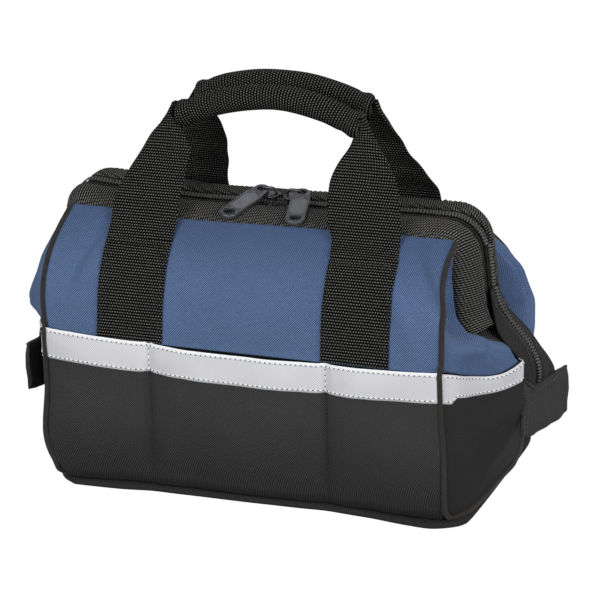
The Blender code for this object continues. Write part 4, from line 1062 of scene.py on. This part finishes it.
def makeMouth(side):
    word = sideWord[side]
    body = word + "_frame"
    sleeve = sweep(word + "MouthBinding", [bindingRing(i, side) for i in range(stations)], "ribbed")
    seat(sleeve, body, "black_webbing", word + "_mouth_binding")
    edge = [mouthPlace(i, mouth["outerY"] - binding["sewnIn"], -binding["sewnLift"], side)
            for i in range(stations)]
    thread = {front: "greyThread", rear: "darkThread"}[side]
    line = stitchRow(word + "BindingStitches", edge, stationNormal(seamLine), thread,
                     *stitchSize["binding"])
    seat(line, body, "black_webbing")

    rows = []
    for n, y in enumerate((mouth["innerY"] + zipLook["under"], *zipLook["tapeRows"])):
        # the outer two rows lie higher, and the inner two are pushed aside by the sliders
        depth = zipLook["tapeDepth"] - (zipLook["tapeStep"] if n < 2 else 0.0)
        pushed = zipLook["pushed"] if n > 2 else 0.0
        rows.append([mouthPlace(i, y + parting(ridgeLine[i]) * pushed, depth, side)
                     for i in range(stations)])
    tape = clothPiece(word + "ZipTape", rows, "zipTape", zipLook["tapeCloth"], (0, 0, 1))
    seat(tape, body, "zip_tape", word + "_zip_tape")
    seat(makeTeeth(word + "ZipCoil", ridgeLine, side), body, "zip_coil", word + "_zip_coil")
    inside = [mouthPlace(i, zipLook["cordY"] + parting(ridgeLine[i]), zipLook["cordDepth"], side)
              for i in range(stations)]
    core = tube(word + "CoilCord", inside, zipLook["cord"], "zipTape", 8, Vector((0, side, 0)))
    seat(core, body, "zip_coil")
    threads = []
    for n, (y, depth) in enumerate(zipLook["sewn"]):
        line = [mouthPlace(i, y, depth, side) for i in range(stations)]
        if n == 0:
            line = [p for p in line if abs(p.x) > slider["centre"] + slider["clear"]
                    or p.z < ridgeHeight - zipLook["level"]]
        threads.append(stitchRow("z" + str(n), line, stationNormal(ridgeLine), "greyThread",
                                 *stitchSize["zip"]))
    seat(joined(word + "ZipStitches", threads), body, "zip_tape")


for side in (front, rear):
    makeMouth(side)
for name in ("front_frame_rod", "rear_frame_rod", "left_frame_rivet", "right_frame_rivet"):
    refinish(name, "steel")
print("stage: mouth")


# The upper walls: blue cloth that swells between the fold and the mouth

# drags: depth, place from left to right, width, slant, height where it passes there, middle, reach.
# bow: the same for a broad rise in the middle of the front. rows: shares of the way up
wall = {"drags": ((-0.0042, 0.965, 0.018, 0.17, 0.62, 0.60, 0.28),
                  (0.0028, 0.90, 0.026, 0.13, 0.40, 0.45, 0.30),
                  (-0.0040, 0.085, 0.020, -0.10, 0.62, 0.60, 0.28)),
        "lumps": (0.042, 0.0026, 2.0), "wrinkles": (0.016, 0.0006, 7.0),
        "bow": (0.0012, 0.50, 0.060, -0.25, 0.5), "shoulder": 0.10, "rows": (-0.022, 0.996),
        "swell": 0.0128, "foldOut": 0.0036, "piping": 0.0019, "pipingOut": 0.0015,
        "pipingIn": 0.0002, "pipingRows": (-0.020, 0.985), "cloth": 0.0013,
        "lean": math.atan2(halfDepth - seamY, seamHeight - foldHeight),
        "run": math.hypot(halfDepth - seamY, seamHeight - foldHeight),
        "edges": {(right, front): (0.1466, 0.1460, 0.1445, 0.1415, 0.1412, 0.1437),
                  (left, front): (0.1508, 0.1532, 0.1545, 0.1535, 0.1500, 0.1462),
                  (right, rear): (0.1500, 0.1490, 0.1435, 0.1320, 0.1195, 0.1080),
                  (left, rear): (0.1510, 0.1515, 0.1505, 0.1480, 0.1440, 0.1390)}}


def wallEdge(end, side, share):
    return end * curve(share, wall["edges"][(end, side)])


def wallAcross(side, x, share):
    # share of the way from the left edge to the right one
    low, high = wallEdge(left, side, share), wallEdge(right, side, share)
    return (x - low) / (high - low)


def wallPlace(side, u, share, out=0.0):
    # u from 0 at the left piping to 1 at the right one, share from the fold to the binding
    x = mix(wallEdge(left, side, share), wallEdge(right, side, share), u)
    rise = math.sin(math.pi * clamp(share))
    swell = wall["swell"] * rise * (1 - wall["shoulder"] * abs(2 * u - 1) ** 3)
    swell += wall["foldOut"] * (1 - share) ** 3
    if side == front:
        for depth, across, width, slant, height, middle, reach in wall["drags"]:
            drag = (u - across) + (share - height) * slant
            swell += depth * bump(drag, 0.0, width) * bump(share, middle, reach)
        depth, across, width, slant, height = wall["bow"]
        swell += depth * bump((u - across) + (share - height) * slant, 0.0, width) * rise
    swell += lumps((x, side * 0.2, share * 0.1), *wall["lumps"]) * rise
    swell += lumps((x, side * 0.4, share * 0.1), *wall["wrinkles"]) * rise
    along = share * wall["run"]
    y = halfDepth - along * math.sin(wall["lean"]) + (out + swell) * math.cos(wall["lean"])
    z = foldHeight + along * math.cos(wall["lean"]) + (out + swell) * math.sin(wall["lean"])
    z += min(mouthSag(x), 0.0) * clamp(share) ** 3
    return Vector((x, side * y, z))


def makeWall(side):
    word = sideWord[side]
    body = word + "_wall"
    grid = [[wallPlace(side, u, mix(*wall["rows"], v)) for u in shares(150)] for v in shares(64)]
    panel = clothPiece(word + "UpperPanel", grid, "blue", wall["cloth"], (0, side, 0))
    seat(panel, body, "blue_polyester", word + "_upper_panel")
    for end in (left, right):
        points = [wallPlace(side, 0.5 + end * 0.5, mix(*wall["pipingRows"], v), -wall["pipingIn"])
                  + Vector((end * wall["pipingOut"], 0, 0)) for v in shares(70)]
        piece = tube(word + "UpperPiping" + endWord[end].capitalize(), points, wall["piping"], "piping",
                     12, Vector((end, 0, 0)))
        seat(piece, body, "piping", word + "_upper_piping_" + endWord[end])


for side in (front, rear):
    makeWall(side)
print("stage: upper walls")


# Gussets, drawn between the wall's piping, the end panel and the leg of the frame

# swell: how far it stands out or is tucked in, from the end panel up to the mouth
gusset = {"count": 46, "thickness": 0.0012, "hemThickness": 0.0010, "hemHeight": 0.030,
          "hemTuck": 0.0075, "crease": 0.0028, "ridge": 0.0095, "valley": 0.0075,
          "lumps": (0.020, 0.0022, 4.0), "sway": (0.024, 0.0016, 9.0),
          "swell": {(left, front): (0.0, 0.0112, 0.0142, 0.0135, 0.0085, 0.0),
                    (right, rear): (0.0, 0.0096, 0.0192, 0.0242, 0.0096, 0.0),
                    (right, front): (0.0, 0.0024, -0.0078, -0.0112, -0.0084, 0.0),
                    (left, rear): (0.0, -0.0050, -0.0070, -0.0063, -0.0039, 0.0)}}


def blendCloth(piece, side, slot, low=-0.008, high=0.022):
    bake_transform(piece)


def makeGusset(end, side):
    count = gusset["count"]
    panelEdge = [wallPlace(side, 0.5 + end * 0.5, mix(0.004, 0.985, v), -0.0020)
                 + Vector((end * 0.0008, 0, 0)) for v in shares(count)]
    lowerEdge = []
    for u in shares(count):
        y = mix(halfDepth - 0.0010, 0.0012, u)
        lowerEdge.append(endPlace(end, side * y, endTop(y) - 0.0030, -0.0020))
    legStations = [i if end == left else stations - 1 - i for i in range(25)]
    leg = [mouthPlace(i, seamY - 0.0035, 0.0035, side) for i in legStations]
    path = [lowerEdge[-1], lowerEdge[-1].lerp(leg[0], 0.5) + Vector((end * 0.004, 0, 0.002))] + leg
    lengths = pathLengths(path)
    mouthEdge = [alongPath(path, lengths, lengths[-1] * v) for v in shares(count)]
    rows = []
    swell = gusset["swell"][(end, side)]
    for j, v in enumerate(shares(count)):
        row = []
        for i, u in enumerate(shares(count)):
            top = panelEdge[-1].lerp(mouthEdge[-1], u)
            sidesMix = panelEdge[j].lerp(mouthEdge[j], u)
            endsMix = lowerEdge[i].lerp(top, v)
            corners = lowerEdge[0].lerp(lowerEdge[-1], u).lerp(top, v)
            spot = sidesMix + endsMix - corners
            bell = math.sin(math.pi * u) ** 0.8 * math.sin(math.pi * v ** 0.85) ** 0.9
            spot.x += end * curve(v, swell) * math.sin(math.pi * u) ** 0.8
            inner = math.sin(math.pi * u) * math.sin(math.pi * v)
            crease = math.sin((u * 1.6 + v * 1.1) * 8.5 + end * 2 + side) ** 3
            spot.x += end * gusset["crease"] * crease * inner + lumps(spot, *gusset["lumps"]) * bell
            if swell[2] < 0:
                # the tucked quarter lies in two sharp folds that run to the foot of the leg
                ray = (v - 0.10) - u * 0.42
                folds = gusset["ridge"] * bump(ray, 0.0, 0.070) - gusset["valley"] * bump(ray, 0.17, 0.085)
                spot.x += end * folds * inner
            spot.y += lumps(spot, *gusset["sway"]) * bell
            row.append(spot)
        rows.append(row)
    name = endWord[end] + sideWord[side].capitalize() + "Gusset"
    piece = clothPiece(name, rows, "blue", gusset["thickness"], (end, 0, 0))
    blendCloth(piece, side, "blue_polyester")
    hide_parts(endWord[end] + "_" + sideWord[side] + "_gusset")

    # black hem between the gusset and the foot of the frame, under the zip's tail
    hemPath = [p for p in mouthEdge if p.z < legEnd + gusset["hemHeight"]]
    rows = []
    for u in shares(9):
        row = []
        for k, p in enumerate(hemPath):
            share = k / (len(hemPath) - 1)
            under = gusset["hemTuck"] * ease(share * 1.6) * ease(u * 3)
            row.append(Vector((p.x - end * under, mix(p.y * 1.02, side * 0.0015, u),
                               p.z + 0.002 * math.sin(math.pi * u) * (1 - share))))
        rows.append(row)
    hem = clothPiece(name + "Hem", rows, "ribbed", gusset["hemThickness"], (end, 0, 0.4))
    blendCloth(hem, side, "zip_tape")


for end in (left, right):
    for side in (front, rear):
        makeGusset(end, side)
print("stage: gussets")


# Zip tails and the tabs that take them

def makeTail(end):
    word = endWord[end]
    along = shares(48)
    for side in (front, rear):
        rows = []
        for v in shares(10):
            row = []
            for share in along:
                half = curve(share, tail["halves"])
                curl = 0.0030 * v ** 3 * math.sin(math.pi * share)
                ripple = 0.0006 * math.sin(v * 6 + share * 9 + side)
                spot = tailPlace(end, share, side * mix(0.0003, half, v))
                row.append(spot + Vector((-end * (curl + ripple), 0, -curl * 0.8)))
            rows.append(row)
        name = word + sideWord[side].capitalize()
        strip = clothPiece(name + "ZipTail", rows, "end", tail["thickness"], (end, 0, 0.3))
        blendCloth(strip, side, "zip_tape", *tail["blend"])
        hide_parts(word + "_zip_tail")
        lift = Vector((end * 0.0014, 0, 0.0009))
        centre = [tailPlace(end, share, 0.0) + lift for share in along]
        teeth = makeTeeth(name + "TailCoil", centre, side, Vector((end, 0, 0.6)))
        blendCloth(teeth, side, "zip_coil", *tail["blend"])
        inside = [spot + Vector((-end * 0.0020, side * 0.0010, -0.0008)) for spot in centre]
        core = tube(name + "TailCord", inside, zipLook["cord"], "zipTape", 8, Vector((0, side, 0)))
        blendCloth(core, side, "zip_coil", *tail["blend"])
        threads = []
        for n, y in enumerate((0.0062, 0.0085)):
            edge = [tailPlace(end, share, side * y) + Vector((end * 0.0004, 0, 0.0002))
                    for share in along]
            threads.append(stitchRow("t" + str(n), edge, Vector((end, 0, 0.6)), "greyThread",
                                     *stitchSize["tail"]))
        blendCloth(joined(name + "TailStitches", threads), side, "zip_tape", *tail["blend"])


tab = {"thick": 0.0034, "hem": 0.0009, "sides": 36,
       "top": (0.0870, 0.0800, 0.0796, 0.0800, 0.0804, 0.0810, 0.0812),
       "bottom": (0.0432, 0.0412, 0.0412, 0.0416, 0.0420, 0.0428, 0.0452),
       right: {"sewnY": -0.0205, "freeY": 0.0340, "sewnX": 0.1868, "freeX": 0.2038},
       left: {"sewnY": 0.0240, "freeY": -0.0410, "sewnX": 0.1790, "freeX": 0.1890}}


def tabSkin(end, u, z, share):
    # share 1 on the outer skin, -1 on the inner one
    spots = tab[end]
    thick = tab["thick"] * mix(0.35, 1.0, ease(u * 4)) * mix(1.0, 0.45, ease(u * 1.3 - 0.25))
    wrinkle = 0.0006 * math.sin(z * 230 + u * 5) * ease(u * 3) + 0.0004 * math.sin(u * 21 + z * 90)
    x = mix(spots["sewnX"], spots["freeX"], u) + share * thick + wrinkle
    return Vector((end * x, mix(spots["sewnY"], spots["freeY"], u), z))


def makeTab(end):
    # a folded sleeve of cloth sewn to the end along one edge; the other edge stands free
    word = endWord[end]
    rings = []
    for u in shares(34):
        low, top = curve(u, tab["bottom"]), curve(u, tab["top"])
        ring = []
        for k in range(tab["sides"]):
            angle = 2 * math.pi * k / tab["sides"]
            z = mix(low, top, 0.5 + 0.5 * squared(math.sin(angle), 0.35))
            ring.append(tabSkin(end, u, z, squared(math.cos(angle), 0.7)))
        rings.append(ring)
    sleeve = sweep(word + "EndTab", rings, "tab")
    seat(sleeve, "base", "black_polyester", word + "_end_tab")
    hem = [tabSkin(end, mix(0.01, 0.985, v), curve(v, tab["top"]) - 0.0006, 0.80) for v in shares(60)]
    brim = tube(word + "TabHem", hem, tab["hem"], "tab", 10, Vector((end, 0, 0)))
    seat(brim, "base", "black_polyester")
    rows = []
    for n, (u, inset) in enumerate(((0.030, 0.0), (0.075, 0.0), (0.965, 0.0), (0.0, 0.0030))):
        if inset:
            line = [tabSkin(end, mix(0.09, 0.93, v), curve(v, tab["top"]) - inset, 1.0) for v in shares(40)]
        else:
            line = [tabSkin(end, u, mix(curve(u, tab["bottom"]) + 0.002, curve(u, tab["top"]) - 0.003, v),
                            1.0) for v in shares(20)]
        rows.append(stitchRow("t" + str(n), line, Vector((end, 0, 0)), "greyThread",
                              *stitchSize["tab"]))
    seat(joined(word + "TabStitches", rows), "base", "black_polyester")


for end in (left, right):
    makeTail(end)
    makeTab(end)
print("stage: tails and tabs")


# Handles: webbing sewn to the wall, free above it, drawn together into a rolled grip

# edges: outer and inner edge of each free strap at the heights; grip: first and last x, and heights.
# rollFrom: the height from which a strap rolls up, over how much; flat, rolled: powers of the section.
# cuff, groove: change of the grip's size, place from its end and width; closing: change and reach
handle = {
    "steps": 92, "lipOut": 0.0100, "lipDrop": 0.0060, "rollFrom": 0.236, "rollOver": 0.034,
    "flat": 0.25, "rolled": 0.6, "hollow": 0.0035, "wave": (0.0005, 0.35), "blendHalf": 0.006,
    "cuff": (0.09, 0.040, 0.020), "groove": (0.06, 0.085, 0.018), "closing": (0.28, 0.020),
    "gripWave": (0.012, 21),
    "width": 0.0505, "thick": 0.0017, "neckThick": 0.0075, "sewnFirst": -0.020, "sewnLast": 0.770,
    "standOff": 0.0012, "lipY": 0.0472, "topY": 0.0215, "topZ": 0.260, "gripRadius": 0.0092, "sides": 32,
    "sewnX": {(front, left): -0.0862, (front, right): 0.0845, (rear, left): -0.0870, (rear, right): 0.0830},
    "lipX": {(front, left): -0.0885, (front, right): 0.0815, (rear, left): -0.0870, (rear, right): 0.0800},
    "heights": (0.200, 0.210, 0.220, 0.230, 0.240, 0.250, 0.258, 0.265, 0.272),
    "edges": {
        (front, left): ((0.1125, 0.1098, 0.1052, 0.0995, 0.0942, 0.0888, 0.0830, 0.0780, 0.0745),
                        (0.0620, 0.0612, 0.0597, 0.0588, 0.0580, 0.0636, 0.0700, 0.0740, 0.0705)),
        (front, right): ((0.1066, 0.1043, 0.1024, 0.0990, 0.0935, 0.0852, 0.0786, 0.0738, 0.0705),
                         (0.0520, 0.0503, 0.0497, 0.0501, 0.0545, 0.0602, 0.0632, 0.0655, 0.0660)),
        (rear, right): ((0.1040, 0.0992, 0.0932, 0.0866, 0.0825, 0.0787, 0.0751, 0.0712, 0.0672),
                        (0.0545, 0.0535, 0.0520, 0.0505, 0.0500, 0.0530, 0.0570, 0.0600, 0.0610)),
        (rear, left): ((0.1120, 0.1080, 0.1030, 0.0980, 0.0930, 0.0878, 0.0825, 0.0770, 0.0725),
                       (0.0600, 0.0575, 0.0563, 0.0553, 0.0560, 0.0588, 0.0618, 0.0645, 0.0655))},
    "grip": {front: (-0.0722, 0.0690, (0.2618, 0.2721, 0.2788, 0.2801, 0.2743, 0.2640)),
             rear: (-0.0698, 0.0645, (0.2672, 0.2766, 0.2810, 0.2810, 0.2759, 0.2676))}}


def strapSkin(side, end, share, offset, out):
    # on the sewn end, which leans a little with the cloth and follows its swell
    x = mix(handle["sewnX"][(side, end)], handle["lipX"][(side, end)], 0.7 * clamp(share)) + offset
    spot = wallPlace(side, wallAcross(side, x, share), share, out)
    return Vector((x, spot.y, spot.z))


def flatSection(halfWidth, thick, power=handle["flat"]):
    # a flat section with rounded edges: pairs across and out of the cloth
    angles = [2 * math.pi * k / handle["sides"] for k in range(handle["sides"])]
    return [(halfWidth * squared(math.cos(a), power), thick / 2 * squared(math.sin(a), 0.6))
            for a in angles]


def makeStrap(side, end):
    word = sideWord[side]
    half, heights = handle["width"] / 2, handle["heights"]
    rings = [[strapSkin(side, end, share, across, handle["standOff"] + height)
              for across, height in flatSection(half, handle["thick"])]
             for share in (mix(handle["sewnFirst"], handle["sewnLast"], v) for v in shares(36))]
    sewnEnd = sum(rings[-1], Vector()) / handle["sides"]
    outer, inner = handle["edges"][(side, end)]
    lip = Vector((mix(sewnEnd.x, end * (outer[0] + inner[0]) / 2, 0.5),
                  side * (seamY + handle["lipOut"]), seamHeight - handle["lipDrop"]))
    spots, sizes = [sewnEnd, lip], [half, half]
    for near, far, z in zip(inner, outer, heights):
        y = mix(handle["lipY"], handle["topY"], clamp((z - heights[0]) / (handle["topZ"] - heights[0])))
        spots.append(Vector((end * (far + near) / 2, side * y, z)))
        sizes.append((far - near) / 2)
    steps = handle["steps"]
    centres = smoothPath(spots, steps)
    halves = [curve(v, sizes) for v in shares(steps)]
    face = Vector((0, side, 0.25))
    waveHeight, wavePace = handle["wave"]
    for i in range(1, steps):
        ahead = (centres[min(i + 1, steps - 1)] - centres[i - 1]).normalized()
        out = (face - ahead * ahead.dot(face)).normalized()
        # flat below, rolled up and hollow behind toward the grip
        rolled = ease((centres[i].z - handle["rollFrom"]) / handle["rollOver"])
        wave = waveHeight * math.sin(i * wavePace + end)
        section = flatSection(halves[i], mix(handle["thick"], handle["neckThick"], rolled),
                              mix(handle["flat"], handle["rolled"], rolled))
        rings.append([centres[i] + Vector((across, 0, 0))
                      + out * (height + wave - handle["hollow"] * rolled * (across / halves[i]) ** 2)
                      for across, height in section])
    strap = sweep(word + "HandleStrap" + endWord[end].capitalize(), rings, "webbing")
    way = Vector((0, centres[2].y - centres[0].y, centres[2].z - centres[0].z)).normalized()
    way *= handle["blendHalf"]
    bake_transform(strap)
    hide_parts(word + "_handle_strap_" + endWord[end], word + "_strap_anchor_" + endWord[end])


sewnBox = {"inset": 0.0030, "low": 0.04, "belowTop": 0.02, "bar": 0.030, "lift": 0.0021}


def makeAnchorStitches(side, end):
    # a box with a cross bar where the strap is sewn down
    half = handle["width"] / 2 - sewnBox["inset"]
    low, high = sewnBox["low"], handle["sewnLast"] - sewnBox["belowTop"]
    bar = high - sewnBox["bar"]
    rows = []
    for n, (first, last) in enumerate((((-half, low), (-half, high)), ((half, low), (half, high)),
                                       ((-half, high), (half, high)), ((-half, bar), (half, bar)))):
        line = [strapSkin(side, end, mix(first[1], last[1], v), mix(first[0], last[0], v),
                          sewnBox["lift"]) for v in shares(26)]
        rows.append(stitchRow("a" + str(n), line, Vector((0, side, 0.35)), "darkThread",
                              *stitchSize["strap"]))
    seat(joined(sideWord[side] + "StrapStitches" + endWord[end].capitalize(), rows),
         sideWord[side] + "_wall", "black_webbing")


def gripSize(share):
    # a cuff at each end, where the strap's turns close on the roll
    nearEnd = min(share, 1 - share)
    raised, sunk = (handle[key][0] * bump(nearEnd, *handle[key][1:]) for key in ("cuff", "groove"))
    closing, reach = handle["closing"]
    wave, pace = handle["gripWave"]
    return handle["gripRadius"] * (1.0 + (raised - sunk) - closing * clamp(1 - nearEnd / reach) ** 2
                                   + wave * math.sin(share * pace))


def makeGrip(side):
    word = sideWord[side]
    low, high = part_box(word + "_handle_grip")
    y = side * (abs(low.y) + abs(high.y)) / 2
    first, last, heights = handle["grip"][side]
    points = [Vector((mix(first, last, v), y, curve(v, heights))) for v in shares(72)]
    piece = tube(word + "HandleGrip", points, gripSize, "webbing", 32)
    seat(piece, word + "_handle", "black_webbing", word + "_handle_grip")


for side in (front, rear):
    for end in (left, right):
        makeStrap(side, end)
        makeAnchorStitches(side, end)
    makeGrip(side)
print("stage: handles")


# Sliders, their bridges and pulls: die-cast, bevelled and lacquered

def flatShape(name, loops, thickness, lift, bevel, finish):
    # plate from closed outlines; inner outlines become openings
    drawing = bpy.data.curves.new(name, "CURVE")
    drawing.dimensions, drawing.fill_mode = "2D", "BOTH"
    drawing.extrude, drawing.bevel_depth = max(thickness / 2 - bevel, 0.00001), bevel
    drawing.bevel_resolution, drawing.offset = 3, -bevel
    for loop in loops:
        spline = drawing.splines.new("POLY")
        spline.points.add(len(loop) - 1)
        for point, (u, v) in zip(spline.points, loop):
            point.co = (u, v, 0, 1)
        spline.use_cyclic_u = True
    holder = newPiece(name, drawing)
    mesh = finalMesh(holder)
    bpy.data.objects.remove(holder)
    for vertex in mesh.vertices:
        vertex.co.z += lift
    mesh.materials.clear()
    mesh.materials.append(finishes[finish])
    return newPiece(name, mesh)


def circle(u, v, radius, count=40):
    angles = [2 * math.pi * k / count for k in range(count)]
    return [(u + radius * math.cos(a), v + radius * math.sin(a)) for a in angles]


# the eye goes round the bridge, the hole is the finger hole near the tip. rings: for each of the
# two the radius outside and inside, the thickness and the bevel
pull = {"pivotX": 0.0156, "pivotZ": 0.2046, "length": 0.0450, "half": 0.0070, "head": 0.0058,
        "headRound": 0.0060, "plate": 0.0011, "bevel": 0.0003, "rim": 0.0007, "rimBevel": 0.00045,
        "rimWidth": 0.0013, "fieldFirst": 0.0072, "fieldLast": 0.0128, "holeInset": 0.0068,
        "step": 0.0002, "eye": 0.0034, "hole": 0.0043,
        "rings": ((0.0054, 0.0034, 0.0030, 0.0006), (0.0058, 0.0043, 0.0028, 0.0005)),
        left: {"turn": 18.0, "slope": 10.4, "roll": 10.0},
        right: {"turn": 12.0, "slope": 10.4, "roll": 2.0}}


def pullOutline(inset=0.0, first=-pull["head"], last=pull["length"]):
    # round head over the eye, nearly parallel sides, round tip
    half, headRound = pull["half"] - inset, pull["headRound"]
    tipRound = half * 0.9
    upper = []
    for k in range(49):
        u = mix(first, last, 0.5 - 0.5 * math.cos(math.pi * k / 48))
        head = math.sqrt(clamp(1 - (clamp(first + headRound - u, 0.0, headRound) / headRound) ** 2))
        tip = math.sqrt(clamp(1 - (clamp(u - last + tipRound, 0.0, tipRound) / tipRound) ** 2))
        upper.append((u, mix(half * 0.80, half, ease(u / 0.014)) * head * tip))
    return upper[1:-1] + [(last, 0.0)] + [(u, -v) for u, v in upper[1:-1][::-1]] + [(first, 0.0)]


def makePull(end):
    word = endWord[end]
    hole, step = pull["length"] - pull["holeInset"], pull["step"]
    plate = flatShape("plate", [pullOutline(), circle(0, 0, pull["eye"]), circle(hole, 0, pull["hole"])],
                      pull["plate"], 0.0, pull["bevel"], "gunmetal")
    field = pullOutline(pull["rimWidth"], pull["fieldFirst"], pull["length"] - pull["fieldLast"])
    rims = [flatShape("rim", [pullOutline(), field, circle(0, 0, pull["eye"] + step),
                              circle(hole, 0, pull["hole"] + step)],
                      pull["plate"] + pull["rim"] * 2, 0.0, pull["rimBevel"], "rimMetal")]
    for u, (outside, inside, thickness, bevel) in zip((0, hole), pull["rings"]):
        rims.append(flatShape("ring", [circle(u, 0, outside), circle(u, 0, inside)],
                              thickness, 0.0, bevel, "rimMetal"))
    turn, slope, roll = (math.radians(pull[end][key]) for key in ("turn", "slope", "roll"))
    ahead = Vector((end * math.sin(turn) * math.cos(slope), -math.cos(turn) * math.cos(slope),
                    -math.sin(slope)))
    flatWay = Vector((math.cos(turn), end * math.sin(turn), 0))
    up = flatWay.cross(ahead)
    up = up if up.z > 0 else -up
    aside = flatWay * math.cos(roll) - up * math.sin(roll)
    top = aside.cross(ahead)
    top = top if top.z > 0 else -top
    pivot = Vector((end * pull["pivotX"], 0, pull["pivotZ"]))
    for piece in (joined(word + "PullTab", [plate]), joined(word + "PullRim", rims)):
        for vertex in piece.data.vertices:
            u, v, w = vertex.co
            vertex.co = pivot + ahead * u + aside * v + top * w
        recalc(piece)
        seat(piece, word + "_pull_tab", "gunmetal", word + "_pull")


# the body: half outline from the tail to the nose, as shares of its half length and half width
sliderBody = {"outlineShares": ((-1.0, 0.62), (-0.75, 0.80), (-0.2, 0.90), (0.35, 1.0), (0.80, 0.92),
                                (1.0, 0.60)),
              "plate": 0.0016, "crown": 0.0014, "bottom": 0.0014, "post": 0.0016, "postX": 0.0046,
              "lip": 0.0009, "lipReach": 0.0058, "bridge": 0.00105}


def makeSlider(end):
    word = endWord[end]
    low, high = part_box(word + "_slider")
    wide = (high.y - low.y) / 2

    def shield(scale):
        # broad where the halves part, narrower at the tail
        half = slider["length"] / 2 * scale
        edge = smoothPath([Vector((u, v, 0)) for u, v in sliderBody["outlineShares"]], 24)
        return [(p.x * half, p.y * wide * scale) for p in edge] + [
            (p.x * half, -p.y * wide * scale) for p in edge[::-1]]

    parts = [flatShape("top", [shield(1.0)], sliderBody["plate"], high.z - 0.0008, 0.0006, "blackNickel"),
             flatShape("crown", [shield(0.72)], sliderBody["crown"], high.z - 0.0001, 0.0006,
                       "blackNickel"),
             flatShape("bottom", [shield(0.96)], sliderBody["bottom"], low.z + 0.0007, 0.0005,
                       "blackNickel"),
             flatShape("post", [circle(sliderBody["postX"], 0, sliderBody["post"], 20)],
                       high.z - low.z - 0.001, (high.z + low.z) / 2, 0.0001, "blackNickel")]
    reach = sliderBody["lipReach"]
    for face in (front, rear):
        route = [Vector((mix(-reach, reach, v), face * (wide * mix(0.80, 0.93, v) - 0.0005),
                         high.z - 0.0014)) for v in shares(12)]
        parts.append(tube("lip", route, sliderBody["lip"], "blackNickel", 10))
    body = joined(word + "Slider", parts)
    for vertex in body.data.vertices:
        vertex.co.x = end * (slider["centre"] - vertex.co.x)
    recalc(body)
    seat(body, word + "_slider_unit", "gunmetal", word + "_slider")

    lowArch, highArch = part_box(word + "_slider_bridge")
    middle, half = (lowArch.x + highArch.x) / 2, (highArch.x - lowArch.x) / 2 - 0.0010
    rise = highArch.z - high.z - 0.0004
    angles = [math.pi * v for v in shares(40)]
    route = [Vector((middle + half * squared(math.cos(a), 0.55), 0,
                     high.z - 0.0006 + rise * abs(math.sin(a)) ** 0.55)) for a in angles]
    arch = tube(word + "SliderBridge", route, sliderBody["bridge"], "blackNickel", 14, Vector((0, 1, 0)))
    seat(arch, word + "_slider_unit", "gunmetal", word + "_slider_bridge")


for end in (left, right):
    makeSlider(end)
    makePull(end)
print("stage: sliders and pulls")

print("stage: done")
